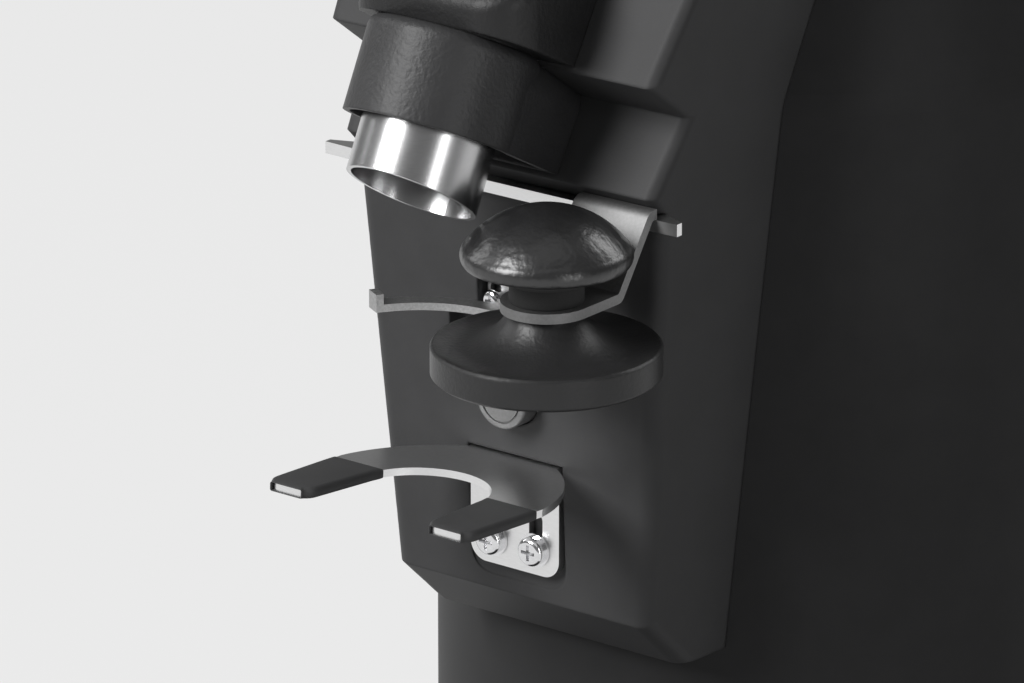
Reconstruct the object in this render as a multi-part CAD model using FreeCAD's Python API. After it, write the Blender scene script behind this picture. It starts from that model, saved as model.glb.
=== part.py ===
import FreeCAD, Part
import math
import os

Vector = FreeCAD.Vector
UP = Vector(0, 0, 1)
RIGHT = Vector(1, 0, 0)
FRONT = Vector(0, -1, 0)

# Clearances
SEAT = 0.2
RUN = 0.06
LOOSE = 0.4

# Stance: base, feet and the place of the body axis
BODY_R = 96.0
BASE_MARGIN = 2.0
BASE_R = BODY_R + BASE_MARGIN
COLUMN_OUT = 26.0
COLUMN_REACH = BODY_R + COLUMN_OUT
TRAY_REACH = 66.5
AXIS_Y = (COLUMN_REACH + TRAY_REACH - BASE_R) / 2
FACE_Y = AXIS_Y - COLUMN_REACH
FRONT_Y = FACE_Y - TRAY_REACH
FORK_LEVEL = 215.0
FOOT_HEIGHT = 8.0
FOOT_R = 14.0
FOOT_INSET = 27.0
BASE_HEIGHT = 26.0
BASE_WALL = 4.0
BASE_CORNER = 42.0
BASE_EDGE = 5.0
BASE_TOP = FOOT_HEIGHT + BASE_HEIGHT
COVER_THICK = 2.0

# Grounds tray in the front of the base
TRAY_HALF = 70.0
TRAY_LENGTH = 62.0
TRAY_DEPTH = 10.0
TRAY_WALL = 1.6
TRAY_FRONT_GAP = 12.0
TRAY_CORNER = 14.0

# Main housing
BODY_WALL = 4.0
BODY_TOP = 372.0
SHOULDER = 304.0
BODY_TAPER = math.radians(14.0)
SHOULDER_ROUND = 24.0
DECK_HOLE_R = 60.0
FLANGE_THICK = 6.0
VENT_COUNT = 9
VENT_WIDTH = 3.5
VENT_HEIGHT = 34.0
VENT_PITCH = math.radians(7.0)
VENT_LOW = 60.0

# Front column, measured forward of the face and up from the fork level
FACE_LOW = -44.0
FACE_HIGH = 67.5
FACE_LEAN = 0.052
COLUMN_HALF = 44.4
COLUMN_FLARE = 0.0755
COLUMN_DRAFT = 0.055
COLUMN_WALL = 4.0
COLUMN_DEEP = -90.0
CHIN_BACK = 15.8
CHIN_DROP = 14.6
LEDGE_RISE = 3.5
BROW_OUT = 4.5
NECK_BACK = 12.1
NECK_RISE = 19.0
LIP_OUT = 15.0
LIP_RISE = 11.0
HEAD_SLOPE = 0.608
FACE_ROUND = 4.2
NECK_ROUND = 3.0

# Spout, its axis tilted forward going down
SPOUT_TILT = math.radians(27.0)
RIM_F = 34.8
RIM_Z = 90.5
SPOUT_R = 22.3
SPOUT_LENGTH = 25.5
SPOUT_WALL = 1.8
SPOUT_ROUND = 3.5
WEB_HALF = 18.5
WEB_LENGTH = 46.0
WEB_ROUND = 9.0
WEB_WALL = 3.0
WEB_HOLLOW = 28.0
OUTLET_R = 9.5
OUTLET_BACK = 6.0
TUBE_R = 17.2
TUBE_WALL = 1.2
TUBE_OUT = 15.6
TUBE_IN = 12.0
MOUTH_TILT = math.radians(35.0)

# Hood over the chute, with the control panel on its top
HOOD_HALF = 27.0
HOOD_NOSE = 15.0
HOOD_NOSE_HEIGHT = 8.0
HOOD_TOP_BACK = 154.0
HOOD_WALL = 3.0
HOOD_ROUND = 5.0
HOOD_CORNER = 12.0
PANEL_HALF = 21.0
PANEL_LENGTH = 46.0
PANEL_THICK = 2.0
LENS_HALF = 16.0
LENS_LENGTH = 18.0
LENS_THICK = 1.5
MENU_R = 4.5
MENU_PITCH = 12.5
MENU_PROUD = 1.6
MENU_TRAVEL = 1.0
BOARD_THICK = 1.6
BOARD_DEPTH = 5.5

# Holder bar and static tamper
BAR_THICK = 3.2
BAR_DROP = 3.6
BAR_HALF = 56.5
BAR_SHOULDER = 47.0
BAR_FRONT = 7.2
BAR_BACK = -5.0
BAR_TIP = 2.0
ARM_HALF = 11.6
ARM_THICK = 2.6
ARM_TOP = 1.0
ARM_BEND = 2.0
ARM_RISER = 12.6
ARM_ROUND = 1.0
TAMPER_X = 38.2
TAMPER_F = 36.0
TAMPER_Z = 35.4
TAMPER_R = 29.0
TAMPER_RIM = 8.3
TONGUE_Z = 17.0
NECK_R = 9.4
KNOB_R = 21.6
KNOB_WIDE = 31.4
KNOB_TOP = 43.8
STUD_R = 4.0

# Portafilter fork
FORK_SEAT = -2.4
FORK_THICK = 2.0
TAB_THICK = 2.2
TAB_HALF = 14.4
TAB_LOW = -36.0
TAB_ROUND = 5.0
FORK_Z = -5.3
FORK_REACH = 60.6
FORK_GAP_R = 17.6
FORK_GAP_F = 38.0
FORK_WIDE = 32.6
PRONG_IN = 19.2
PRONG_OUT = 32.2
CAP_START = 33.0
CAP_WALL = 0.5
PRONG_ROUND = 3.6
FORK_TILT = 3.5
FORK_HEEL = 0.8
SCREW_X = 6.9
FORK_SCREW_Z = -29.1
FORK_TRAVEL = 3.0
SLOT_RISE = 8.0
SLOT_R = 2.2
SHANK_R = 1.95
HEAD_R = 3.9
HEAD_HEIGHT = 2.6
WASHER_THICK = 0.8
WINDOW_GAP = 1.0

# Upper hook
HOOK_SEAT = -3.0
HOOK_TAB_HALF = 9.4
HOOK_TAB_LOW = 26.5
HOOK_TAB_HIGH = 44.0
HOOK_THICK = 2.0
HOOK_Z = 37.4
HOOK_ROOT = 8.0
HOOK_R = 31.0
HOOK_WIDTH = 5.0
HOOK_LEFT = math.radians(61.0)
HOOK_RIGHT = math.radians(25.0)
HOOK_LIP = 2.8
HOOK_TONGUE = 3.0
HOOK_SCREW_X = 6.7
HOOK_SCREW_Z = 36.0
HOOK_HEAD_R = 2.9
HOOK_SHANK_R = 1.45
HOOK_TRAVEL = 3.0
HOOK_FOOT_HALF = 20.0
HOOK_FOOT_HIGH = 32.0
PAD_THICK = 8.0

# Start button and its switch
BUTTON_Z = 12.0
BUTTON_R = 8.0
BUTTON_PROUD = 5.4
BUTTON_CAP = 8.0
BUTTON_TRAVEL = 3.0
STEM_R = 3.2
STEM_LENGTH = 13.0
GUIDE_R = 6.2
GUIDE_ROOM = 7.6
GUIDE_LENGTH = 4.0
SPRING_R = 4.6
SPRING_WIRE = 0.8
SPRING_TURNS = 3
SPRING_FACETS = 12
SWITCH_HALF = 10.0
SWITCH_HEIGHT = 9.0
SWITCH_DEPTH = 5.6

# Burrs, chamber and adjusting collar
DECK_R = 74.0
DECK_THICK = 6.0
CHAMBER_R = 56.0
CHAMBER_BORE = 42.0
CHAMBER_FLOOR = 330.0
CHAMBER_BASE = 8.0
BOSS_R = 27.0
BOSS_DROP = 24.0
POST_R = 6.0
POST_PCD_R = 49.0
BURR_R = 32.0
BURR_BORE = 19.0
BURR_THICK = 8.0
BURR_TEETH = 24
BURR_GAP = 1.0
CARRIER_R = 37.0
CARRIER_THICK = 5.0
CARRIER_LIFT = 1.5
SWEEPER_R = 41.0
PORT_HALF = 11.0
PORT_HEIGHT = 12.0
SKIRT_WALL = 3.6
SKIRT_TOP = 384.0
DOG_WIDTH = 6.0
COLLAR_R = 68.0
COLLAR_LOW = 0.4
COLLAR_HEIGHT = 22.0
COLLAR_ROOM = 8.0
COLLAR_THROAT = 34.0
COLLAR_GRIPS = 24
GRIP_R = 3.0
SOCKET_R = 48.0
SOCKET_WALL = 4.0
SOCKET_HEIGHT = 12.0

# Hopper, gate and lid
HOPPER_NECK = 34.0
HOPPER_HOLE = 30.0
HOPPER_CONE = 92.0
HOPPER_HEIGHT = 168.0
HOPPER_R = 92.0
HOPPER_WALL = 3.0
GATE_HALF = 33.0
GATE_THICK = 3.0
GATE_LEVEL = 16.0
GATE_TAB = 12.0
LID_R = 95.0
LID_THICK = 4.0
LID_CROWN = 9.0
LID_RIM = 8.0
GUARD_BARS = 3
GUARD_WIDTH = 3.0

# Motor
MOTOR_R = 66.0
MOTOR_WALL = 4.0
MOTOR_LOW = 92.0
STATOR_LOW = 150.0
STATOR_HIGH = 225.0
STATOR_BORE = 34.6
ROTOR_R = 34.0
WINDING_HEIGHT = 18.0
SHAFT_R = 8.5
BEARING_R = 20.0
BEARING_HEIGHT = 12.0
FAN_R = 52.0
FAN_HEIGHT = 14.0
FAN_BLADES = 7
CAPACITOR_R = 11.5
CAPACITOR_LENGTH = 72.0
CAPACITOR_LOW = 90.0

# Power switch and mains inlet in the base
ROCKER_LENGTH = 20.0
ROCKER_HEIGHT = 12.0
ROCKER_Y = AXIS_Y - 25.25
ROCKER_TILT = 7.0
ROCKER_PIN_R = 1.4
SWITCH_POCKET = 4.0
INLET_R = 7.0
INLET_BORE = 4.0
INLET_NOTCH = 14.0
INLET_ROOM = 18.0
BASE_SCREW_R = 2.5


def at(x, forward, rise):
    """A point from the middle of the column face at fork level."""
    return Vector(x, FACE_Y - forward, FORK_LEVEL + rise)


def along_axis(radius, low, high):
    """A plain cylinder on the body axis."""
    return Part.makeCylinder(radius, high - low, Vector(0, AXIS_Y, low))


def ring(outer, inner, low, high):
    return along_axis(outer, low, high).cut(along_axis(inner, low - 1, high + 1))


def polar(radius, angle, z):
    return Vector(radius * math.cos(angle), AXIS_Y + radius * math.sin(angle), z)


def flat_face(corners):
    return Part.Face(Part.makePolygon(corners + corners[:1]))


def spun(points, x=0.0, y=AXIS_Y):
    """A closed outline of radius and height, turned about an upright axis."""
    face = flat_face([Vector(x + r, y, z) for r, z in points])
    return face.revolve(Vector(x, y, 0), UP, 360)


def slab(outline, left, right):
    """A side outline of forward and rise, drawn out from left to right."""
    face = flat_face([at(left, f, z) for f, z in outline])
    return face.extrude(RIGHT * (right - left))


def block(x0, x1, f0, f1, z0, z1):
    return slab([(f0, z0), (f1, z0), (f1, z1), (f0, z1)], x0, x1)


def round_edges(shape, radius, wanted):
    """Round those edges whose middle point answers the question."""
    picked = []
    for edge in shape.Edges:
        middle = edge.valueAt((edge.FirstParameter + edge.LastParameter) / 2)
        if wanted(middle, edge):
            picked.append(edge)
    return shape.makeFillet(radius, picked)


def upright(edge):
    ends = [v.Point for v in edge.Vertexes]
    return len(ends) == 2 and abs((ends[1] - ends[0]).normalize().z) > 0.99


def rounded_box(x0, x1, y0, y1, z0, z1, radius):
    box = Part.makeBox(x1 - x0, y1 - y0, z1 - z0, Vector(x0, y0, z0))
    return round_edges(box, radius, lambda middle, edge: upright(edge))


def base_face(inset, z):
    """The base outline: a half circle behind, a rounded front."""
    half = BASE_R - inset
    front = FRONT_Y + inset
    corner = BASE_CORNER - inset
    bend = corner * (1 - math.sqrt(0.5))

    def point(x, y):
        return Vector(x, y, z)

    edges = [
        Part.Arc(point(half, AXIS_Y), point(0, AXIS_Y + half), point(-half, AXIS_Y)).toShape(),
        Part.LineSegment(point(-half, AXIS_Y), point(-half, front + corner)).toShape(),
        Part.Arc(point(-half, front + corner), point(-half + bend, front + bend),
                 point(-half + corner, front)).toShape(),
        Part.LineSegment(point(-half + corner, front), point(half - corner, front)).toShape(),
        Part.Arc(point(half - corner, front), point(half - bend, front + bend),
                 point(half, front + corner)).toShape(),
        Part.LineSegment(point(half, front + corner), point(half, AXIS_Y)).toShape(),
    ]
    return Part.Face(Part.Wire(edges))


def tray_box(grow, low, high):
    """The room of the grounds tray, grown on every side."""
    y0 = FRONT_Y + TRAY_FRONT_GAP
    return rounded_box(-TRAY_HALF - grow, TRAY_HALF + grow, y0 - grow, y0 + TRAY_LENGTH + grow,
                       low, high, TRAY_CORNER + grow)


def foot_places():
    back = (BASE_R - FOOT_INSET) * math.sqrt(0.5)
    front = FRONT_Y + FOOT_INSET + FOOT_R
    side = BASE_R - FOOT_INSET
    return [(side, front), (-side, front), (back, AXIS_Y + back), (-back, AXIS_Y + back)]


def inlet_place():
    return Vector(0, AXIS_Y + BASE_R - INLET_NOTCH, FOOT_HEIGHT + INLET_ROOM / 2)


def rocker_room(grow):
    """The hole of the power switch through the left wall of the base."""
    z = FOOT_HEIGHT + BASE_HEIGHT / 2
    return Part.makeBox(30, ROCKER_LENGTH + 2 * grow, ROCKER_HEIGHT + 2 * grow,
                        Vector(-BASE_R - 1, ROCKER_Y - ROCKER_LENGTH / 2 - grow,
                               z - ROCKER_HEIGHT / 2 - grow))


def base_plate():
    body = base_face(0, FOOT_HEIGHT).extrude(UP * BASE_HEIGHT)
    body = round_edges(body, BASE_EDGE, lambda middle, edge: abs(middle.z - BASE_TOP) < 0.01)
    room = base_face(BASE_WALL, FOOT_HEIGHT).extrude(UP * (BASE_HEIGHT - BASE_WALL))
    tray_floor = BASE_TOP - TRAY_DEPTH
    room = room.cut(tray_box(LOOSE + BASE_WALL, tray_floor - BASE_WALL, BASE_TOP))
    body = body.cut(room)
    body = body.cut(tray_box(LOOSE, tray_floor, BASE_TOP + 1))
    notch = Part.makeBox(4 * INLET_R, 2 * INLET_NOTCH, INLET_ROOM,
                         Vector(-2 * INLET_R, AXIS_Y + BASE_R - INLET_NOTCH, FOOT_HEIGHT))
    wall = Part.makeBox(4 * INLET_R + 2 * BASE_WALL, BASE_WALL, BASE_HEIGHT - BASE_WALL,
                        Vector(-2 * INLET_R - BASE_WALL, AXIS_Y + BASE_R - INLET_NOTCH - BASE_WALL,
                               FOOT_HEIGHT))
    wall = wall.fuse(inlet_cheeks())
    body = body.fuse(wall.cut(Part.makeCylinder(INLET_R - 1, 40, inlet_place() - Vector(0, 20, 0),
                                                Vector(0, 1, 0)))).cut(notch)
    body = body.cut(rocker_room(SEAT)).cut(switch_pocket())
    for place in base_screw_places():
        body = body.cut(Part.makeCylinder(BASE_SCREW_R + SEAT, BASE_HEIGHT, place))
    return body.removeSplitter()


def inlet_cheeks():
    """Side walls of the recess that holds the mains inlet."""
    cheeks = []
    for side in (-2 * INLET_R - BASE_WALL, 2 * INLET_R):
        cheeks.append(Part.makeBox(BASE_WALL, INLET_NOTCH - BASE_WALL, BASE_HEIGHT - BASE_WALL,
                                   Vector(side, AXIS_Y + BASE_R - INLET_NOTCH, FOOT_HEIGHT)))
    return cheeks[0].fuse(cheeks[1])


def switch_pocket():
    grow = 4.0
    z = FOOT_HEIGHT + BASE_HEIGHT / 2
    return Part.makeBox(SWITCH_POCKET / 2 + 1, ROCKER_LENGTH + 2 * grow, ROCKER_HEIGHT + 2 * grow,
                        Vector(-BASE_R - 1, ROCKER_Y - ROCKER_LENGTH / 2 - grow,
                               z - ROCKER_HEIGHT / 2 - grow))


def base_screw_places():
    radius = BODY_R - BODY_WALL - 5
    angles = [math.radians(a) for a in (45, 135, 200, 340)]
    return [polar(radius, a, BASE_TOP - BASE_WALL) for a in angles]


def base_screws():
    screws = []
    for place in base_screw_places():
        shank = Part.makeCylinder(BASE_SCREW_R, BASE_WALL + FLANGE_THICK, place)
        head = Part.makeCylinder(2 * BASE_SCREW_R, 3, place - UP * 3)
        screws.append(shank.fuse(head))
    return Part.makeCompound(screws)


def bottom_cover():
    plate = base_face(BASE_WALL + SEAT, FOOT_HEIGHT).extrude(UP * COVER_THICK)
    wall = Part.makeBox(4 * INLET_R + 2 * BASE_WALL + 2 * SEAT, 2 * INLET_NOTCH, 2 * COVER_THICK,
                        Vector(-2 * INLET_R - BASE_WALL - SEAT,
                               AXIS_Y + BASE_R - INLET_NOTCH - BASE_WALL - SEAT, FOOT_HEIGHT - 1))
    slot = Part.makeBox(40, 3, 4 * COVER_THICK, Vector(-20, AXIS_Y, FOOT_HEIGHT - 2))
    plate = plate.cut(wall)
    for step in range(-3, 4):
        plate = plate.cut(slot.translated(Vector(0, 8 * step, 0)))
    return plate


def rubber_feet():
    feet = []
    for x, y in foot_places():
        profile = [(0, 0), (FOOT_R - 1.5, 0), (FOOT_R, 1.5), (FOOT_R - 2, FOOT_HEIGHT), (0, FOOT_HEIGHT)]
        feet.append(spun(profile, x, y))
    return Part.makeCompound(feet)


def grounds_tray():
    floor = BASE_TOP - TRAY_DEPTH + LOOSE
    outer = tray_box(0, floor, BASE_TOP + 1)
    inner = tray_box(-TRAY_WALL, floor + TRAY_WALL, BASE_TOP + 2)
    lip = tray_box(BASE_WALL, BASE_TOP + LOOSE, BASE_TOP + LOOSE + TRAY_WALL)
    return outer.fuse(lip).cut(inner).removeSplitter()


def body_radius(z):
    return BODY_R - max(0.0, z - SHOULDER) * math.tan(BODY_TAPER)


def body_envelope(grow):
    """The outside of the main housing, grown evenly."""
    top = BODY_TOP + 40
    outline = [(0, BASE_TOP - 60), (BODY_R + grow, BASE_TOP - 60), (BODY_R + grow, SHOULDER),
               (body_radius(top) + grow, top), (0, top)]
    solid = spun(outline)
    return round_edges(solid, SHOULDER_ROUND + grow, lambda middle, edge: abs(middle.z - SHOULDER) < 0.01)


def main_housing():
    slabs = Part.makeBox(400, 400, BODY_TOP - BASE_TOP, Vector(-200, AXIS_Y - 200, BASE_TOP))
    outside = body_envelope(0).common(slabs)
    inside = body_envelope(-BODY_WALL)
    inside = inside.common(slabs)
    shell = outside.cut(inside)
    shell = shell.fuse(ring(body_radius(BODY_TOP) - 1, DECK_HOLE_R, BODY_TOP - FLANGE_THICK, BODY_TOP))
    foot = ring(BODY_R - BODY_WALL + 0.5, BODY_R - BODY_WALL - 11, BASE_TOP, BASE_TOP + FLANGE_THICK)
    shell = shell.fuse(foot)
    for place in base_screw_places():
        shell = shell.cut(Part.makeCylinder(BASE_SCREW_R + SEAT, 30, place))
    shell = shell.cut(chute_solid(LOOSE))
    for step in range(VENT_COUNT):
        shell = shell.cut(vent(step))
    return shell.removeSplitter()


def vent(step):
    angle = math.pi / 2 + (step - (VENT_COUNT - 1) / 2) * VENT_PITCH
    slot = Part.makeBox(3 * BODY_WALL, VENT_WIDTH, VENT_HEIGHT,
                        Vector(BODY_R - 2 * BODY_WALL, -VENT_WIDTH / 2, VENT_LOW))
    slot = round_edges(slot, VENT_WIDTH / 2 - 0.05, lambda middle, edge: lies_along_x(edge))
    slot.rotate(Vector(0, 0, 0), UP, math.degrees(angle))
    return slot.translated(Vector(0, AXIS_Y, 0))


def lies_along_x(edge):
    ends = [v.Point for v in edge.Vertexes]
    return len(ends) == 2 and abs((ends[1] - ends[0]).normalize().x) > 0.99


def face_forward(z):
    return FACE_LEAN * z


def column_lower():
    """Side outline of the lower column: chin and leaning face."""
    low = face_forward(FACE_LOW)
    ledge = FACE_HIGH + LEDGE_RISE
    return [(COLUMN_DEEP, FACE_LOW - CHIN_DROP), (low - CHIN_BACK, FACE_LOW - CHIN_DROP), (low, FACE_LOW),
            (face_forward(ledge), ledge), (COLUMN_DEEP, ledge)]


def column_upper():
    """Side outline of the upper column: brow, neck, lip and sloping head."""
    ledge = FACE_HIGH + LEDGE_RISE
    high = face_forward(ledge)
    brow = (high + BROW_OUT, ledge + BROW_OUT)
    neck = (brow[0] - NECK_BACK, brow[1] + NECK_RISE)
    lip = (neck[0] + LIP_OUT, neck[1] + LIP_RISE)
    top = BODY_TOP - FORK_LEVEL
    crown = (lip[0] - HEAD_SLOPE * (top - lip[1]), top)
    return [(COLUMN_DEEP, ledge), (high, ledge), brow, neck, lip, crown, (COLUMN_DEEP, top)]


def column_half(forward, z):
    return COLUMN_HALF + COLUMN_FLARE * z - COLUMN_DRAFT * forward


def column_wedge(inset):
    """The room between the two slanting sides of the column."""
    near, far = 60.0, -100.0
    wires = []
    for z in (-90.0, 190.0):
        corners = [at(-column_half(near, z) + inset, near, z), at(column_half(near, z) - inset, near, z),
                   at(column_half(far, z) - inset, far, z), at(-column_half(far, z) + inset, far, z)]
        wires.append(Part.makePolygon(corners + corners[:1]))
    return Part.makeLoft(wires, True, True)


def column_solid():
    wide = 90.0
    room = column_wedge(0)
    lower = slab(column_lower(), -wide, wide).common(room)
    lower = round_edges(lower, FACE_ROUND, lambda middle, edge: front_corner(middle, edge))
    upper = slab(column_upper(), -wide, wide).common(room)
    upper = round_edges(upper, NECK_ROUND, lambda middle, edge: front_corner(middle, edge))
    return lower.fuse(upper).removeSplitter()


def front_corner(middle, edge):
    """The long corners at both sides of the face, neck and head."""
    forward = FACE_Y - middle.y
    return abs(middle.x) > 20 and forward > -CHIN_BACK and standing(edge)


def standing(edge):
    ends = [v.Point for v in edge.Vertexes]
    return len(ends) == 2 and abs((ends[1] - ends[0]).normalize().z) > 0.3


def front_column():
    outside = column_solid()
    face = flat_face([at(0, f, z) for f, z in column_lower()[:-1] + column_upper()[2:]])
    hollow = face.makeOffset2D(-COLUMN_WALL)
    room = hollow.extrude(RIGHT * 180)
    room = room.translated(RIGHT * -90).common(column_wedge(COLUMN_WALL))
    room = room.cut(fork_pad()).cut(hook_pad())
    shell = outside.cut(room)
    shell = shell.cut(body_envelope(SEAT))
    shell = shell.cut(fork_window()).cut(hook_window())
    shell = shell.cut(bar_plate(SEAT))
    axis = at(0, face_forward(BUTTON_Z) + 20, BUTTON_Z)
    shell = shell.cut(Part.makeCylinder(BUTTON_R + LOOSE, 40, axis, Vector(0, 1, 0)))
    for x in (-SCREW_X, SCREW_X):
        shell = shell.cut(forward_pin(x, FORK_SCREW_Z, SHANK_R + RUN, -20, 5))
    for x in (-HOOK_SCREW_X, HOOK_SCREW_X):
        shell = shell.cut(forward_pin(x, HOOK_SCREW_Z, HOOK_SHANK_R + RUN, -20, 5))
    shell = shell.cut(chute_solid(LOOSE))
    return max(shell.removeSplitter().Solids, key=lambda solid: solid.Volume)


def forward_pin(x, z, radius, start, end):
    """A round pin that points forward."""
    return Part.makeCylinder(radius, end - start, at(x, start, z), FRONT)


def fork_pad():
    return block(-TAB_HALF - 5, TAB_HALF + 5, FORK_SEAT - PAD_THICK, 10, FACE_LOW, FORK_Z + 4)


def fork_window():
    """Recess round the fork's tab, with room for it to slide down."""
    half = TAB_HALF + WINDOW_GAP
    low = TAB_LOW - FORK_TRAVEL - WINDOW_GAP
    room = block(-half, half, FORK_SEAT, 10, low, FORK_Z + 0.6)
    return round_edges(room, TAB_ROUND + WINDOW_GAP, lambda middle, edge: low_corner(middle, edge, low))


def hook_pad():
    half = HOOK_FOOT_HALF + 4
    return block(-half, half, HOOK_SEAT - PAD_THICK, 10, HOOK_TAB_LOW - 8, HOOK_TAB_HIGH + 8)


def hook_window():
    half = HOOK_TAB_HALF + WINDOW_GAP
    low = HOOK_TAB_LOW - HOOK_TRAVEL - WINDOW_GAP
    high = HOOK_TAB_HIGH + HOOK_TRAVEL + WINDOW_GAP
    tall = block(-half, half, HOOK_SEAT, 10, low, high)
    wide = block(-HOOK_FOOT_HALF, HOOK_FOOT_HALF, HOOK_SEAT, 10, low, HOOK_FOOT_HIGH)
    return tall.fuse(wide)


def spout_point(up, side=0.0):
    """A point on the spout axis, up from its lower rim."""
    forward = RIM_F - up * math.sin(SPOUT_TILT) + side * math.cos(SPOUT_TILT)
    return (forward, RIM_Z + up * math.cos(SPOUT_TILT) + side * math.sin(SPOUT_TILT))


def spout_direction():
    return Vector(0, math.sin(SPOUT_TILT), math.cos(SPOUT_TILT))


def spout_cylinder(radius, start, end):
    forward, z = spout_point(start)
    return Part.makeCylinder(radius, end - start, at(0, forward, z), spout_direction())


def web_prism(inset, length, height):
    """Straight-sided body that runs from the barrel back towards the neck."""
    front = SPOUT_R - 0.2 - inset
    back = front - (SPOUT_R - WEB_HALF) * length / WEB_LENGTH
    face = flat_face([at(front, *spout_point(0)), at(back, *spout_point(0, -length)),
                      at(-back, *spout_point(0, -length)), at(-front, *spout_point(0))])
    return face.extrude(spout_direction() * height)


def spout_housing():
    """Round barrel with a round-shouldered body running back into the neck, open below."""
    barrel = spout_cylinder(SPOUT_R, 0, SPOUT_LENGTH)
    barrel = round_edges(barrel, SPOUT_ROUND, lambda middle, edge: spout_level(middle))
    web = web_prism(0, WEB_LENGTH, SPOUT_LENGTH)
    web = round_edges(web, WEB_ROUND, lambda middle, edge: spout_level(middle) and abs(middle.x) > 5)
    solid = barrel.fuse(web).cut(column_solid_grown())
    solid = solid.cut(spout_cylinder(SPOUT_R - SPOUT_WALL, -40, SPOUT_LENGTH + 20))
    solid = solid.cut(web_prism(WEB_WALL, WEB_HOLLOW, TUBE_IN))
    return max(solid.removeSplitter().Solids, key=lambda part: part.Volume)


def column_solid_grown():
    """The column with the seat gap in front of it."""
    return column_solid().translated(FRONT * SEAT)


def spout_tube():
    start = -TUBE_OUT - TUBE_R
    tube = spout_cylinder(TUBE_R, start, TUBE_IN)
    flange = spout_cylinder(SPOUT_R - SPOUT_WALL - SEAT, TUBE_IN - 2, TUBE_IN)
    tube = tube.fuse(flange).cut(spout_cylinder(TUBE_R - TUBE_WALL, start - 1, TUBE_IN + 1))
    forward, z = spout_point(-TUBE_OUT)
    cutter = Part.makeBox(160, 160, 80, Vector(-80, -80, -80))
    cutter.rotate(Vector(0, 0, 0), RIGHT, -math.degrees(MOUTH_TILT))
    return tube.cut(cutter.translated(at(0, forward, z)))


def hood_outline():
    back = spout_point(SPOUT_LENGTH, -SPOUT_R - 6)
    nose = spout_point(SPOUT_LENGTH, HOOD_NOSE)
    return [back, nose, (nose[0], nose[1] + HOOD_NOSE_HEIGHT), (-24, HOOD_TOP_BACK), (-24, back[1])]


def hood_slope():
    """Angle of the hood's top and the middle of that top."""
    front = hood_outline()[2]
    rear = hood_outline()[3]
    angle = math.atan2(rear[1] - front[1], front[0] - rear[0])
    return angle, front


def hood_solid():
    """Block over the chute with a round nose and rounded rims."""
    solid = slab(hood_outline(), -HOOD_HALF, HOOD_HALF)
    nose = hood_outline()[1][0]
    solid = round_edges(solid, HOOD_CORNER,
                        lambda middle, edge: upright(edge) and FACE_Y - middle.y > nose - 1)
    return round_edges(solid, HOOD_ROUND, lambda middle, edge: hood_rim(middle))


def hood_rim(middle):
    """The top rim of the hood, ahead of the column."""
    front = hood_outline()[2]
    lift = middle.z - FORK_LEVEL - front[1]
    return FACE_Y - middle.y > -12 and lift > -0.01


def spout_level(point):
    top = at(0, *spout_point(SPOUT_LENGTH))
    return abs((point - top).dot(spout_direction())) < 0.01


def on_hood_top(piece):
    """Set a piece drawn flat, with its front edge on the x axis, on the hood's top."""
    angle, front = hood_slope()
    piece.rotate(Vector(0, 0, 0), RIGHT, math.degrees(angle))
    return piece.translated(at(0, front[0], front[1]))


PANEL_START = HOOD_ROUND + 1.0


def chute_hood():
    solid = hood_solid().cut(column_solid_grown())
    outline = flat_face([at(0, f, z) for f, z in hood_outline()])
    room = outline.makeOffset2D(-HOOD_WALL).extrude(RIGHT * 2 * (HOOD_HALF - HOOD_WALL))
    room = room.translated(RIGHT * -(HOOD_HALF - HOOD_WALL))
    nose = hood_outline()[1][0] - HOOD_WALL
    room = round_edges(room, HOOD_CORNER - HOOD_WALL,
                       lambda middle, edge: upright(edge) and FACE_Y - middle.y > nose - 1)
    solid = solid.cut(room)
    seat = Part.makeBox(2 * PANEL_HALF + 2 * SEAT, PANEL_LENGTH + 2 * SEAT, 20,
                        Vector(-PANEL_HALF - SEAT, PANEL_START - SEAT, -PANEL_THICK / 2))
    solid = solid.cut(on_hood_top(seat))
    well = Part.makeBox(2 * PANEL_HALF - 5, PANEL_LENGTH - 5, 20,
                        Vector(-PANEL_HALF + 2.5, PANEL_START + 2.5, -12))
    solid = solid.cut(on_hood_top(well))
    outlet = spout_cylinder(OUTLET_R, SPOUT_LENGTH - 5, SPOUT_LENGTH + 5)
    shift = at(0, *spout_point(0, -OUTLET_BACK)) - at(0, *spout_point(0))
    solid = solid.cut(outlet.translated(shift)).cut(chute_solid(SEAT))
    return max(solid.removeSplitter().Solids, key=lambda part: part.Volume)


def menu_places():
    y = PANEL_START + MENU_R + 4
    return [(-MENU_PITCH, y), (0.0, y), (MENU_PITCH, y)]


LENS_START = PANEL_START + PANEL_LENGTH - LENS_LENGTH - 4.0


def control_panel():
    low = -PANEL_THICK / 2
    plate = rounded_box(-PANEL_HALF, PANEL_HALF, PANEL_START, PANEL_START + PANEL_LENGTH,
                        low, low + PANEL_THICK, 4.0)
    window = Part.makeBox(2 * LENS_HALF + 2 * SEAT, LENS_LENGTH + 2 * SEAT, 10,
                          Vector(-LENS_HALF - SEAT, LENS_START - SEAT, low + PANEL_THICK - LENS_THICK))
    view = Part.makeBox(2 * LENS_HALF - 4, LENS_LENGTH - 4, 10, Vector(-LENS_HALF + 2, LENS_START + 2, -5))
    plate = plate.cut(window).cut(view)
    for x, y in menu_places():
        plate = plate.cut(Part.makeCylinder(MENU_R + LOOSE, 20, Vector(x, y, -10)))
    return on_hood_top(plate)


def display_lens():
    low = PANEL_THICK / 2 - LENS_THICK
    plate = rounded_box(-LENS_HALF, LENS_HALF, LENS_START, LENS_START + LENS_LENGTH,
                        low, low + LENS_THICK, 1.0)
    return on_hood_top(plate)


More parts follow.
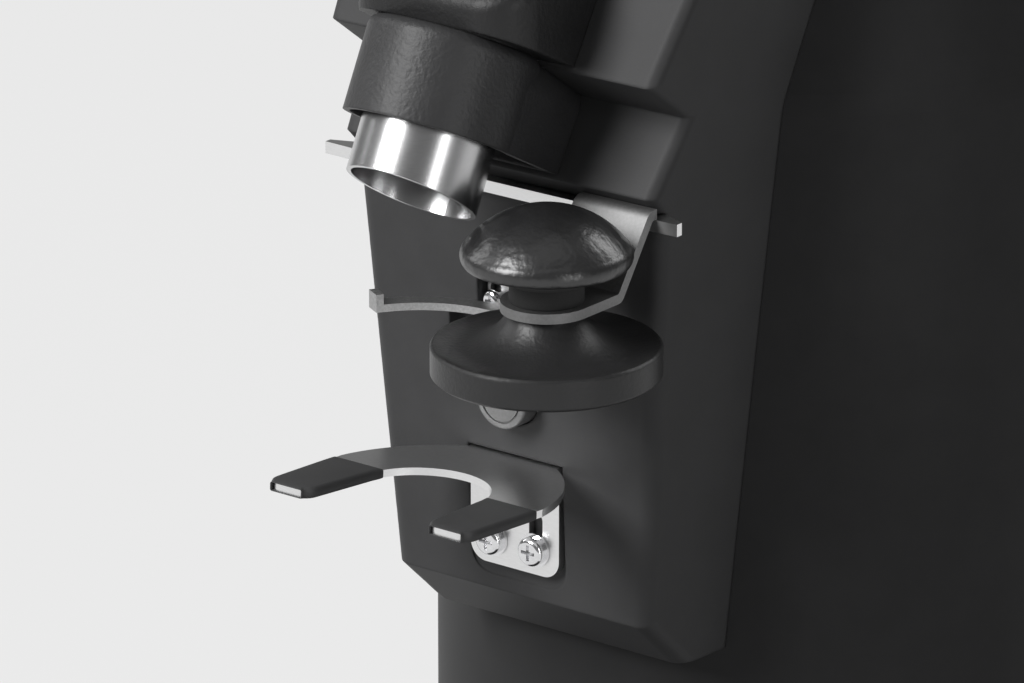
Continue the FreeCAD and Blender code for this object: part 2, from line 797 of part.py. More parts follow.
def menu_button(index):
    x, y = menu_places()[index]
    top = PANEL_THICK / 2 + MENU_PROUD
    cap = Part.makeCylinder(MENU_R, top + PANEL_THICK, Vector(x, y, -PANEL_THICK))
    cap = round_edges(cap, 0.8, lambda middle, edge: abs(middle.z - top) < 0.01)
    foot = Part.makeCylinder(MENU_R + 1.0, 1.0, Vector(x, y, -PANEL_THICK - 0.2))
    stem = Part.makeCylinder(1.6, BOARD_DEPTH - PANEL_THICK - MENU_TRAVEL - 1.2,
                             Vector(x, y, -BOARD_DEPTH + MENU_TRAVEL + 1.0))
    return on_hood_top(cap.fuse(foot).fuse(stem).removeSplitter())


def control_board():
    low = -BOARD_DEPTH - BOARD_THICK
    half = HOOD_HALF - HOOD_WALL - SEAT
    plate = Part.makeBox(2 * half, PANEL_LENGTH - 16, BOARD_THICK, Vector(-half, PANEL_START + 4, low))
    screen = Part.makeBox(2 * LENS_HALF - 6, LENS_LENGTH - 6, 4,
                          Vector(-LENS_HALF + 3, LENS_START + 3, low + BOARD_THICK))
    return on_hood_top(plate.fuse(screen))


def chute_solid(grow):
    """The closed outline of the duct from burr chamber to spout."""
    start = COLUMN_REACH - CHAMBER_R - 6
    low = CHAMBER_FLOOR - FORK_LEVEL + 1
    high = low + PORT_HEIGHT
    end = spout_point(SPOUT_LENGTH, 2)
    drop = 6.0
    outline = [(-start - grow, low - grow), (end[0] - 14, low - drop - grow),
               (end[0] - 2, low - drop + 4 - grow), (end[0] - 2, high - drop + grow),
               (-start - grow, high + grow)]
    return slab(outline, -PORT_HALF - 2 - grow, PORT_HALF + 2 + grow)


def grounds_chute():
    solid = chute_solid(0).cut(along_axis(CHAMBER_R + SEAT, 200, 420))
    face = flat_face([at(0, f, z) for f, z in chute_outline_inner()])
    room = face.extrude(RIGHT * 2 * PORT_HALF).translated(RIGHT * -PORT_HALF)
    solid = solid.cut(room)
    return max(solid.removeSplitter().Solids, key=lambda part: part.Volume)


def chute_outline_inner():
    start = COLUMN_REACH - CHAMBER_R + 20
    low = CHAMBER_FLOOR - FORK_LEVEL + 2.5
    high = low + PORT_HEIGHT - 3
    end = spout_point(SPOUT_LENGTH, 2)
    drop = 6.0
    return [(-start, low), (end[0] - 14, low - drop), (end[0] - 14, low - drop - 12),
            (end[0] - 4, low - drop - 12), (end[0] - 4, high - drop), (-start, high)]


def bar_low():
    """The bar's underside, set down from the ledge under the brow."""
    return FACE_HIGH + LEDGE_RISE - BAR_DROP


def bar_plate(grow):
    """Steel bar across the neck, with pointed ends."""
    tip = BAR_TIP / 2 + grow
    middle = BAR_FRONT - BAR_TIP / 2 - 0.4
    half = BAR_HALF + grow
    outline = [(-BAR_SHOULDER, BAR_FRONT + grow), (-half, middle + tip), (-half, middle - tip),
               (-BAR_SHOULDER, 1 - grow), (-BAR_SHOULDER + 8, BAR_BACK - grow),
               (BAR_SHOULDER - 8, BAR_BACK - grow), (BAR_SHOULDER, 1 - grow), (half, middle - tip),
               (half, middle + tip), (BAR_SHOULDER, BAR_FRONT + grow)]
    low = bar_low() - grow
    face = flat_face([at(x, f, low) for x, f in outline])
    return face.extrude(UP * (BAR_THICK + 2 * grow))


def arm_bend(middle, edge, levels):
    """An edge of one of the arm's two bends, at one of the given levels."""
    across = abs(edge.tangentAt(edge.FirstParameter).x) > 0.99
    between = BAR_FRONT - ARM_TOP + 0.5 < FACE_Y - middle.y < TAMPER_F - 0.5
    rise = middle.z - FORK_LEVEL
    return across and between and min(abs(rise - level) for level in levels) < 0.01


def tamper_arm():
    """Bent strip from the bar down to a round tongue under the knob."""
    top = bar_low() + BAR_THICK + ARM_THICK
    low = TAMPER_Z + TONGUE_Z + ARM_THICK
    bend = BAR_FRONT + ARM_BEND
    line = [(BAR_FRONT - ARM_TOP, top), (bend, top), (bend + ARM_RISER, low), (TAMPER_F, low)]
    wire = Part.makePolygon([at(TAMPER_X - ARM_HALF, f, z) for f, z in line])
    strip = wire.makeOffset2D(ARM_THICK, 0, True, True, False)
    if strip.BoundBox.ZMax > FORK_LEVEL + top + 0.1:
        strip = wire.makeOffset2D(-ARM_THICK, 0, True, True, False)
    solid = strip.extrude(RIGHT * 2 * ARM_HALF)
    outer = (top, low - ARM_THICK)
    inner = (top - ARM_THICK, low)
    solid = round_edges(solid, ARM_ROUND + ARM_THICK, lambda middle, edge: arm_bend(middle, edge, outer))
    solid = round_edges(solid, ARM_ROUND, lambda middle, edge: arm_bend(middle, edge, inner))
    end = Part.makeCylinder(ARM_HALF, ARM_THICK, at(TAMPER_X, TAMPER_F, low - ARM_THICK))
    solid = solid.fuse(end)
    hole = Part.makeCylinder(STUD_R + SEAT, 20, at(TAMPER_X, TAMPER_F, low - 10))
    return solid.cut(hole).removeSplitter()


def lathe(pieces):
    """Turn a closed run of edges about the tamper axis."""
    face = Part.Face(Part.Wire(pieces))
    return face.revolve(at(TAMPER_X, TAMPER_F, 0), UP, 360)


def rim_point(radius, rise):
    return at(TAMPER_X + radius, TAMPER_F, TAMPER_Z + rise)


def line(a, b):
    return Part.LineSegment(rim_point(*a), rim_point(*b)).toShape()


def arc(a, b, c):
    return Part.Arc(rim_point(*a), rim_point(*b), rim_point(*c)).toShape()


def dome_middle(radius, height):
    """Halfway point on the knob's round top, a cap of that radius and height."""
    ball = (radius ** 2 + height ** 2) / (2 * height)
    half = math.asin(radius / ball) / 2
    return (ball * math.sin(half), KNOB_TOP - ball + ball * math.cos(half))


def tamper_knob():
    seat = TONGUE_Z + ARM_THICK
    throat = KNOB_WIDE - 7.0
    under = KNOB_WIDE - 2.2
    bore = STUD_R + RUN
    deep = KNOB_WIDE + 3.0
    dome = dome_middle(KNOB_R - 1.2, KNOB_TOP - KNOB_WIDE - 2.6)
    edges = [
        line((bore, seat), (NECK_R, seat)),
        line((NECK_R, seat), (NECK_R, throat)),
        arc((NECK_R, throat), (NECK_R + 4.6, throat + 2.2), (KNOB_R - 0.8, under)),
        arc((KNOB_R - 0.8, under), (KNOB_R, KNOB_WIDE), (KNOB_R - 1.2, KNOB_WIDE + 2.6)),
        arc((KNOB_R - 1.2, KNOB_WIDE + 2.6), dome, (0, KNOB_TOP)),
        line((0, KNOB_TOP), (0, deep)),
        line((0, deep), (bore, deep)),
        line((bore, deep), (bore, seat)),
    ]
    return lathe(edges)


def tamper_base():
    top = TONGUE_Z
    edges = [
        line((0, 0), (TAMPER_R - 0.8, 0)),
        line((TAMPER_R - 0.8, 0), (TAMPER_R, 0.8)),
        line((TAMPER_R, 0.8), (TAMPER_R, TAMPER_RIM - 0.6)),
        line((TAMPER_R, TAMPER_RIM - 0.6), (TAMPER_R - 0.6, TAMPER_RIM)),
        arc((TAMPER_R - 0.6, TAMPER_RIM), (TAMPER_R * 0.5, TAMPER_RIM + 2.6), (NECK_R, top)),
        line((NECK_R, top), (0, top)),
        line((0, top), (0, 0)),
    ]
    hole = Part.makeCylinder(STUD_R + RUN, top - 5, rim_point(0, 5))
    return lathe(edges).cut(hole)


def tamper_stud():
    return Part.makeCylinder(STUD_R, KNOB_WIDE - 4, rim_point(0, 6))


def fork_face(grow, z):
    """Outline of the fork plate: straight heel, wide root, two prongs, round gap."""
    root = FORK_SEAT + 0.1
    points = {}
    for side in (-1, 1):
        points[side] = {
            "root": at(side * (TAB_HALF + grow), root, z),
            "heel": at(side * (TAB_HALF + grow), FORK_HEEL, z),
            "bow": at(side * (FORK_WIDE * 0.82 + grow), FORK_GAP_F * 0.37, z),
            "wide": at(side * (FORK_WIDE + grow), FORK_GAP_F * 0.8, z),
            "out": at(side * (PRONG_OUT + grow), FORK_REACH, z),
            "in": at(side * (PRONG_IN - grow), FORK_REACH, z),
            "gap": at(side * (FORK_GAP_R - grow), FORK_GAP_F, z),
        }
    left, right = points[-1], points[1]
    deepest = at(0, FORK_GAP_F - FORK_GAP_R + grow, z)
    edges = [
        Part.LineSegment(left["root"], right["root"]).toShape(),
        Part.LineSegment(right["root"], right["heel"]).toShape(),
        Part.Arc(right["heel"], right["bow"], right["wide"]).toShape(),
        Part.LineSegment(right["wide"], right["out"]).toShape(),
        Part.LineSegment(right["out"], right["in"]).toShape(),
        Part.LineSegment(right["in"], right["gap"]).toShape(),
        Part.Arc(right["gap"], deepest, left["gap"]).toShape(),
        Part.LineSegment(left["gap"], left["in"]).toShape(),
        Part.LineSegment(left["in"], left["out"]).toShape(),
        Part.LineSegment(left["out"], left["wide"]).toShape(),
        Part.Arc(left["wide"], left["bow"], left["heel"]).toShape(),
        Part.LineSegment(left["heel"], left["root"]).toShape(),
    ]
    return Part.Face(Part.Wire(edges))


def fork_sheet(grow):
    """The fork plate drawn level, with round prong ends."""
    face = fork_face(grow, FORK_Z - FORK_THICK - grow)
    sheet = face.extrude(UP * (FORK_THICK + 2 * grow))
    end = FACE_Y - FORK_REACH
    return round_edges(sheet, PRONG_ROUND + grow,
                       lambda middle, edge: upright(edge) and abs(middle.y - end) < 0.01)


def tilted(sheet):
    """Raise the front of the level fork plate."""
    sheet.rotate(at(0, FORK_SEAT + 0.1, FORK_Z), RIGHT, -FORK_TILT)
    return sheet


def slot(x, low, high, radius):
    """A long hole through a tab, with round ends."""
    depth = 40.0
    ends = [forward_pin(x, z, radius, -depth / 2, depth / 2) for z in (low, high)]
    middle = block(x - radius, x + radius, -depth / 2, depth / 2, low, high)
    return ends[0].fuse(ends[1]).fuse(middle)


def fork_plate():
    back = FORK_SEAT + 0.1
    tab = block(-TAB_HALF, TAB_HALF, back, back + TAB_THICK, TAB_LOW, FORK_Z)
    tab = round_edges(tab, TAB_ROUND, lambda middle, edge: low_corner(middle, edge, TAB_LOW))
    solid = tab.fuse(tilted(fork_sheet(0)))
    for x in (-SCREW_X, SCREW_X):
        solid = solid.cut(slot(x, FORK_SCREW_Z, FORK_SCREW_Z + SLOT_RISE, SLOT_R))
    return solid.removeSplitter()


def low_corner(middle, edge, low):
    along = abs(edge.tangentAt(edge.FirstParameter).y) > 0.99
    return along and abs(middle.z - FORK_LEVEL - low) < 0.01


def fork_cap(side):
    zone = block(min(side * 10, side * 60), max(side * 10, side * 60), CAP_START, FORK_REACH - 0.6, -30, 20)
    return tilted(fork_sheet(CAP_WALL).common(zone).cut(fork_sheet(0.02)))


def pan_screw(x, z, seat, head_r, shank_r, washer):
    """A pan-head screw with a cross recess, its head on the seat."""
    grip = seat + 0.1
    shank = forward_pin(x, z, shank_r, HOOK_SEAT - PAD_THICK + 1, grip)
    head = forward_pin(x, z, head_r, grip + washer, grip + washer + HEAD_HEIGHT)
    front = FACE_Y - grip - washer - HEAD_HEIGHT
    head = round_edges(head, HEAD_HEIGHT * 0.55, lambda middle, edge: abs(middle.y - front) < 0.01)
    solid = shank.fuse(head)
    if washer:
        solid = solid.fuse(forward_pin(x, z, head_r + 0.7, grip, grip + washer))
    wide = head_r * 0.55
    for half_x, half_z in ((wide, 0.45), (0.45, wide)):
        cross = block(x - half_x, x + half_x, grip + washer + 1.2, grip + 9, z - half_z, z + half_z)
        solid = solid.cut(cross)
    return solid.removeSplitter()


def fork_screws():
    seat = FORK_SEAT + 0.1 + TAB_THICK
    return Part.makeCompound([pan_screw(x, FORK_SCREW_Z, seat, HEAD_R, SHANK_R, WASHER_THICK)
                              for x in (-SCREW_X, SCREW_X)])


def hook_plate():
    back = HOOK_SEAT + 0.1
    tab = block(-HOOK_TAB_HALF, HOOK_TAB_HALF, back, back + HOOK_THICK, HOOK_TAB_LOW, HOOK_TAB_HIGH)
    low = HOOK_Z - HOOK_THICK
    tongue = block(-HOOK_TONGUE, HOOK_TONGUE, back, HOOK_ROOT, low, HOOK_Z)
    solid = tab.fuse(tongue).fuse(hook_arc(HOOK_Z - HOOK_THICK, HOOK_THICK, -HOOK_LEFT, HOOK_RIGHT))
    edge = math.radians(4.0)
    for start, end in ((-HOOK_LEFT, -HOOK_LEFT + edge), (HOOK_RIGHT - edge, HOOK_RIGHT)):
        solid = solid.fuse(hook_arc(HOOK_Z - HOOK_THICK, HOOK_THICK + HOOK_LIP, start, end))
    for x in (-HOOK_SCREW_X, HOOK_SCREW_X):
        slotted = slot(x, HOOK_SCREW_Z - HOOK_TRAVEL, HOOK_SCREW_Z + HOOK_TRAVEL, HOOK_SHANK_R + 0.3)
        behind = block(-60, 60, -30, back + HOOK_THICK + 0.5, 0, 80)
        solid = solid.cut(slotted.common(behind))
    return solid.removeSplitter()


def hook_arc(z, thick, start, end):
    """Part of a flat ring in front of the face."""
    middle_f = HOOK_ROOT + HOOK_R
    inner = HOOK_R - HOOK_WIDTH / 2
    outer = HOOK_R + HOOK_WIDTH / 2

    def point(radius, angle):
        return at(radius * math.sin(angle), middle_f - radius * math.cos(angle), z)

    half = (start + end) / 2
    edges = [
        Part.Arc(point(outer, start), point(outer, half), point(outer, end)).toShape(),
        Part.LineSegment(point(outer, end), point(inner, end)).toShape(),
        Part.Arc(point(inner, end), point(inner, half), point(inner, start)).toShape(),
        Part.LineSegment(point(inner, start), point(outer, start)).toShape(),
    ]
    return Part.Face(Part.Wire(edges)).extrude(UP * thick)


def hook_screws():
    seat = HOOK_SEAT + 0.1 + HOOK_THICK
    return Part.makeCompound([pan_screw(x, HOOK_SCREW_Z, seat, HOOK_HEAD_R, HOOK_SHANK_R, 0.0)
                              for x in (-HOOK_SCREW_X, HOOK_SCREW_X)])


def button_front():
    return face_forward(BUTTON_Z) + BUTTON_PROUD


def start_button():
    front = button_front()
    cap = forward_pin(0, BUTTON_Z, BUTTON_R, front - BUTTON_CAP, front)
    face_y = FACE_Y - front
    cap = round_edges(cap, 0.8, lambda middle, edge: abs(middle.y - face_y) < 0.01)
    groove = forward_pin(0, BUTTON_Z, BUTTON_R - 1.7, front - 0.5, front + 1)
    groove = groove.cut(forward_pin(0, BUTTON_Z, BUTTON_R - 2.2, front - 1, front + 2))
    stem = forward_pin(0, BUTTON_Z, STEM_R, front - BUTTON_CAP - STEM_LENGTH, front - BUTTON_CAP)
    return cap.cut(groove).fuse(stem).removeSplitter()


def guide_front():
    return button_front() - BUTTON_CAP - GUIDE_ROOM


def switch_front():
    return button_front() - BUTTON_CAP - STEM_LENGTH - BUTTON_TRAVEL - 0.6


def button_guide():
    """Bush behind the face that carries the button stem, spring and switch."""
    end = guide_front()
    start = end - GUIDE_LENGTH
    wide = column_half(end, BUTTON_Z - GUIDE_R) - COLUMN_WALL - 2 * SEAT
    plate = block(-wide, wide, start, start + 3, BUTTON_Z - GUIDE_R, BUTTON_Z + GUIDE_R)
    bush = forward_pin(0, BUTTON_Z, GUIDE_R, start, end)
    shelf_top = BUTTON_Z - SWITCH_HEIGHT / 2
    shelf = block(-SWITCH_HALF, SWITCH_HALF, switch_front() - SWITCH_DEPTH, start + 1,
                  shelf_top - 2, shelf_top)
    solid = plate.fuse(bush).fuse(shelf)
    solid = solid.cut(forward_pin(0, BUTTON_Z, STEM_R + RUN, start - 2, end + 5))
    return solid.removeSplitter()


def button_spring():
    """Coil on the stem, drawn as short as the pressed button leaves it."""
    rise = GUIDE_ROOM - BUTTON_TRAVEL - SPRING_WIRE - 0.2
    first = guide_front() + SPRING_WIRE / 2 + 0.05
    steps = SPRING_TURNS * SPRING_FACETS
    points = []
    for step in range(steps + 1):
        angle = 2 * math.pi * step / SPRING_FACETS
        points.append(at(SPRING_R * math.cos(angle), first + rise * step / steps,
                         BUTTON_Z + SPRING_R * math.sin(angle)))
    section = Part.makePolygon(square(points[0], points[1] - points[0], SPRING_WIRE / 2))
    return Part.makePolygon(points).makePipeShell([section], True, False, 1)


def square(centre, along, half):
    """A closed square of wire section, set across a direction."""
    side = along.cross(FRONT).normalize() * half
    up = side.cross(along).normalize() * half
    corners = [centre + side + up, centre - side + up, centre - side - up, centre + side - up]
    return corners + corners[:1]


def start_switch():
    front = switch_front()
    return block(-SWITCH_HALF, SWITCH_HALF, front - SWITCH_DEPTH, front,
                 BUTTON_Z - SWITCH_HEIGHT / 2 + 0.05, BUTTON_Z + SWITCH_HEIGHT / 2)


def burr_chamber():
    top = BODY_TOP + DECK_THICK
    floor = CHAMBER_FLOOR
    outline = [(CHAMBER_BORE, top), (DECK_R, top), (DECK_R, BODY_TOP), (CHAMBER_R, BODY_TOP),
               (CHAMBER_R, floor - CHAMBER_BASE), (BOSS_R, floor - CHAMBER_BASE),
               (BOSS_R, floor - CHAMBER_BASE - BOSS_DROP),
               (BEARING_R + RUN, floor - CHAMBER_BASE - BOSS_DROP),
               (BEARING_R + RUN, floor - CHAMBER_BASE - BOSS_DROP + BEARING_HEIGHT + RUN),
               (SHAFT_R + LOOSE, floor - CHAMBER_BASE - BOSS_DROP + BEARING_HEIGHT + RUN),
               (SHAFT_R + LOOSE, floor), (CHAMBER_BORE, floor)]
    solid = spun(outline)
    for place in post_places():
        low = motor_top()
        solid = solid.fuse(Part.makeCylinder(POST_R, floor - CHAMBER_BASE - low, place))
    low = floor - FORK_LEVEL + 2.5
    port = block(-PORT_HALF, PORT_HALF, -COLUMN_REACH + 10, -COLUMN_REACH + CHAMBER_R + 10,
                 low, low + PORT_HEIGHT - 3)
    return solid.cut(port).removeSplitter()


def motor_top():
    return CHAMBER_FLOOR - CHAMBER_BASE - BOSS_DROP - 2


def post_places():
    angles = [math.radians(45 + 90 * step) for step in range(4)]
    return [polar(POST_PCD_R, a, motor_top()) for a in angles]


def burr(low, face_up):
    """A flat burr: a steel ring with slanting cutting grooves on one face."""
    solid = ring(BURR_R, BURR_BORE, low, low + BURR_THICK)
    face = low + BURR_THICK if face_up else low
    sign = 1 if face_up else -1
    groove = flat_face([Vector(BURR_BORE - 6, -2.4, face + sign * 0.01),
                        Vector(BURR_BORE - 6, 2.4, face + sign),
                        Vector(BURR_BORE - 6, 2.4, face - sign * 3.4)])
    rim = flat_face([Vector(BURR_R + 2, -1.0, face + sign * 0.01), Vector(BURR_R + 2, 0.6, face + sign),
                     Vector(BURR_R + 2, 0.6, face - sign * 0.7)])
    tooth = Part.makeLoft([groove.OuterWire, rim.OuterWire], True, True)
    tooth.rotate(Vector(BURR_BORE, 0, face), UP, -14)
    cutters = []
    for step in range(BURR_TEETH):
        copy = tooth.copy()
        copy.rotate(Vector(0, 0, 0), UP, 360.0 * step / BURR_TEETH)
        cutters.append(copy.translated(Vector(0, AXIS_Y, 0)))
    for cutter in cutters:
        solid = solid.cut(cutter)
    for place in burr_screw_places(low):
        solid = solid.cut(Part.makeCylinder(1.7, BURR_THICK + 2, place - UP))
    return max(solid.Solids, key=lambda part: part.Volume)


def carrier_low():
    return CHAMBER_FLOOR + CARRIER_LIFT


def lower_burr_low():
    return carrier_low() + CARRIER_THICK


def upper_burr_low():
    return lower_burr_low() + BURR_THICK + BURR_GAP


def burr_screw_places(low):
    angles = [math.radians(90 + 120 * step) for step in range(3)]
    return [polar((BURR_R + BURR_BORE) / 2, a, low) for a in angles]


def lower_burr():
    return burr(lower_burr_low(), True)


def upper_burr():
    return burr(upper_burr_low(), False)


def burr_carrier():
    """Spinning disc under the lower burr, with sweeping blades on its rim."""
    low = carrier_low()
    solid = along_axis(CARRIER_R, low, low + CARRIER_THICK)
    solid = solid.fuse(along_axis(BURR_BORE - 1.5, low, low + CARRIER_THICK + 5))
    for step in range(3):
        blade = Part.makeBox(SWEEPER_R - CARRIER_R + 3, 5, CARRIER_THICK + 4,
                             Vector(CARRIER_R - 3, -2.5, low))
        blade.rotate(Vector(0, 0, 0), UP, 30 + 120 * step)
        solid = solid.fuse(blade.translated(Vector(0, AXIS_Y, 0)))
    for place in burr_screw_places(low):
        solid = solid.cut(Part.makeCylinder(1.7, CARRIER_THICK + 2, place - UP))
    return solid.cut(along_axis(SHAFT_R + RUN, low - 5, low + 30)).removeSplitter()


def lower_burr_screws():
    low = carrier_low()
    return Part.makeCompound([Part.makeCylinder(1.6, CARRIER_THICK + BURR_THICK - 3, place)
                              for place in burr_screw_places(low)])


def upper_carrier():
    """Threaded cup above the upper burr, moved by the collar's two dogs."""
    low = upper_burr_low() + BURR_THICK
    solid = ring(CHAMBER_BORE - RUN, BURR_BORE, low, low + CARRIER_THICK)
    solid = solid.fuse(ring(CHAMBER_BORE - RUN, CHAMBER_BORE - SKIRT_WALL, low, SKIRT_TOP))
    for angle in (0, 180):
        gap = Part.makeBox(20, DOG_WIDTH, 30,
                           Vector(CHAMBER_BORE - 12, -DOG_WIDTH / 2, low + CARRIER_THICK + 2))
        gap.rotate(Vector(0, 0, 0), UP, angle)
        solid = solid.cut(gap.translated(Vector(0, AXIS_Y, 0)))
    for place in burr_screw_places(low):
        solid = solid.cut(Part.makeCylinder(1.7, CARRIER_THICK + 2, place - UP))
    return solid.removeSplitter()


def upper_burr_screws():
    low = upper_burr_low() + 3
    return Part.makeCompound([Part.makeCylinder(1.6, BURR_THICK - 3 + CARRIER_THICK, place)
                              for place in burr_screw_places(low)])


def collar_low():
    return BODY_TOP + DECK_THICK + COLLAR_LOW


def collar_top():
    return collar_low() + COLLAR_HEIGHT


def adjusting_collar():
    low = collar_low()
    top = collar_top()
    roof = low + COLLAR_ROOM
    inner = CHAMBER_BORE + 2
    outline = [(inner, low), (COLLAR_R, low), (COLLAR_R, top - 3), (COLLAR_R - 3, top),
               (SOCKET_R + SOCKET_WALL, top), (SOCKET_R + SOCKET_WALL, top + SOCKET_HEIGHT),
               (SOCKET_R, top + SOCKET_HEIGHT), (SOCKET_R, top), (COLLAR_THROAT, top),
               (COLLAR_THROAT, roof), (inner, roof)]
    solid = spun(outline)
    for step in range(COLLAR_GRIPS):
        angle = 2 * math.pi * step / COLLAR_GRIPS
        grip = Part.makeCylinder(GRIP_R, COLLAR_HEIGHT + 4, polar(COLLAR_R + GRIP_R * 0.55, angle, low - 1))
        solid = solid.cut(grip)
    depth = SKIRT_WALL - 2 * LOOSE
    for angle in (0, 180):
        dog = Part.makeBox(depth, DOG_WIDTH - 2 * LOOSE, COLLAR_ROOM + 5,
                           Vector(CHAMBER_BORE - SKIRT_WALL + LOOSE, -DOG_WIDTH / 2 + LOOSE,
                                  roof - COLLAR_ROOM - 4))
        dog.rotate(Vector(0, 0, 0), UP, angle)
        solid = solid.fuse(dog.translated(Vector(0, AXIS_Y, 0)))
    return solid.removeSplitter()


def chamber_screws():
    screws = []
    radius = DECK_R - 3.0
    for step in range(4):
        place = polar(radius, math.radians(45 + 90 * step), BODY_TOP + DECK_THICK)
        screws.append(Part.makeCylinder(2.4, 2.2, place))
    return Part.makeCompound(screws)


def hopper_low():
    return collar_top() + LOOSE


def hopper_outline(inset):
    """Radius and height of the hopper's cone and upright wall."""
    low = hopper_low()
    neck = low + HOPPER_NECK
    return [(SOCKET_R - LOOSE - inset, neck), (HOPPER_R - inset, low + HOPPER_CONE),
            (HOPPER_R - inset, low + HOPPER_HEIGHT)]


def hopper():
    low = hopper_low()
    wall = HOPPER_WALL
    outer = hopper_outline(0)
    inner = hopper_outline(wall)
    outline = [(HOPPER_HOLE, low), (SOCKET_R - LOOSE, low)] + outer
    outline += [inner[2], inner[1], inner[0], (HOPPER_HOLE, low + HOPPER_NECK - 6)]
    solid = spun(outline)
    slot_low = low + GATE_LEVEL - LOOSE
    gate_room = Part.makeBox(2 * GATE_HALF + 2 * LOOSE, 2 * SOCKET_R, GATE_THICK + 2 * LOOSE,
                             Vector(-GATE_HALF - LOOSE, AXIS_Y + GATE_HALF + LOOSE - 2 * SOCKET_R,
                                    slot_low))
    return solid.cut(gate_room).removeSplitter()


def finger_guard():
    """Cross bars in the throat that keep fingers off the burrs."""
    low = hopper_low() + 3
    solid = ring(HOPPER_HOLE - SEAT, HOPPER_HOLE - 3, low, low + 4)
    for step in range(GUARD_BARS):
        bar = Part.makeBox(2 * HOPPER_HOLE - 3, GUARD_WIDTH, 4,
                           Vector(-HOPPER_HOLE + 1.5, -GUARD_WIDTH / 2, low))
        bar.rotate(Vector(0, 0, 0), UP, 60 * step)
        solid = solid.fuse(bar.translated(Vector(0, AXIS_Y, 0)))
    return solid.removeSplitter()


def hopper_gate():
    low = hopper_low() + GATE_LEVEL
    front = AXIS_Y - SOCKET_R - SOCKET_WALL - GATE_TAB
    plate = rounded_box(-GATE_HALF, GATE_HALF, front, AXIS_Y + GATE_HALF, low, low + GATE_THICK, 6.0)
    grip = Part.makeBox(2 * GATE_HALF - 20, 4, 10, Vector(-GATE_HALF + 10, front, low - 7))
    return plate.fuse(grip).removeSplitter()


def hopper_lid():
    low = hopper_low() + HOPPER_HEIGHT + LOOSE
    inside = HOPPER_R - HOPPER_WALL - LOOSE
    crown = low + LID_THICK + LID_CROWN
    outline = [(0, low), (inside - 3, low), (inside - 3, low - LID_RIM),
               (inside, low - LID_RIM), (inside, low),
               (LID_R, low), (LID_R, low + LID_THICK), (LID_R - 14, low + LID_THICK + 4), (30, crown - 3),
               (22, crown - 5), (14, crown - 3), (12, crown), (0, crown)]
    return spun(outline)


def motor_frame():
    top = motor_top()
    shell = ring(MOTOR_R, MOTOR_R - MOTOR_WALL, MOTOR_LOW, top)
    roof = ring(MOTOR_R, BOSS_R + RUN, top - 8, top)
    floor = ring(MOTOR_R, BEARING_R + RUN, MOTOR_LOW, MOTOR_LOW + BEARING_HEIGHT)
    lip = ring(BEARING_R + 1, SHAFT_R + 4, MOTOR_LOW - 2, MOTOR_LOW)
    solid = shell.fuse(roof).fuse(floor).fuse(lip)
    for place in post_places():
        solid = solid.cut(Part.makeCylinder(2.2, 40, place - UP * 20))
    for step in range(8):
        angle = math.radians(22.5 + 45 * step)
        solid = solid.cut(Part.makeCylinder(8, 30, polar(44, angle, MOTOR_LOW - 5)))
    return solid.removeSplitter()


def motor_bolts():
    bolts = []
    for place in post_places():
        shank = Part.makeCylinder(2.1, 7.9, place - UP * 8)
        head = Part.makeCylinder(4, 4, place - UP * 12)
        bolts.append(shank.fuse(head))
    return Part.makeCompound(bolts)


def stator_core():
    return ring(MOTOR_R - MOTOR_WALL - RUN, STATOR_BORE, STATOR_LOW, STATOR_HIGH)


def stator_windings():
    coils = []
    for low in (STATOR_LOW - WINDING_HEIGHT, STATOR_HIGH):
        coil = ring(MOTOR_R - MOTOR_WALL - 4, STATOR_BORE + 5, low, low + WINDING_HEIGHT)
        coils.append(coil)
    return Part.makeCompound(coils)


def rotor_core():
    return ring(ROTOR_R, SHAFT_R + RUN, STATOR_LOW, STATOR_HIGH)


def shaft_low():
    return MOTOR_LOW + 0.5


def motor_shaft():
    return along_axis(SHAFT_R, shaft_low(), carrier_low() + CARRIER_THICK + 4)


def lower_bearing():
    return ring(BEARING_R, SHAFT_R + RUN, MOTOR_LOW, MOTOR_LOW + BEARING_HEIGHT)


def upper_bearing():
    low = CHAMBER_FLOOR - CHAMBER_BASE - BOSS_DROP
    return ring(BEARING_R, SHAFT_R + RUN, low, low + BEARING_HEIGHT)


def cooling_fan():
    low = MOTOR_LOW + BEARING_HEIGHT + 4
    solid = ring(16, SHAFT_R + RUN, low, low + FAN_HEIGHT)
    for step in range(FAN_BLADES):
        blade = Part.makeBox(FAN_R - 14, 2, FAN_HEIGHT, Vector(14, -1, low))
        blade.rotate(Vector(15, 0, low), RIGHT, 24)
        blade.rotate(Vector(0, 0, 0), UP, 360.0 * step / FAN_BLADES)
        solid = solid.fuse(blade.translated(Vector(0, AXIS_Y, 0)))
    return solid.removeSplitter()


def run_capacitor():
    away = BODY_R - BODY_WALL - CAPACITOR_R - LOOSE
    place = polar(away, math.radians(20), CAPACITOR_LOW)
    can = Part.makeCylinder(CAPACITOR_R, CAPACITOR_LENGTH, place)
    return round_edges(can, 2.0, lambda middle, edge: middle.z > CAPACITOR_LOW + CAPACITOR_LENGTH - 0.1)


def rocker_pivot():
    return Vector(-BASE_R + SWITCH_POCKET + 3, ROCKER_Y, FOOT_HEIGHT + BASE_HEIGHT / 2)


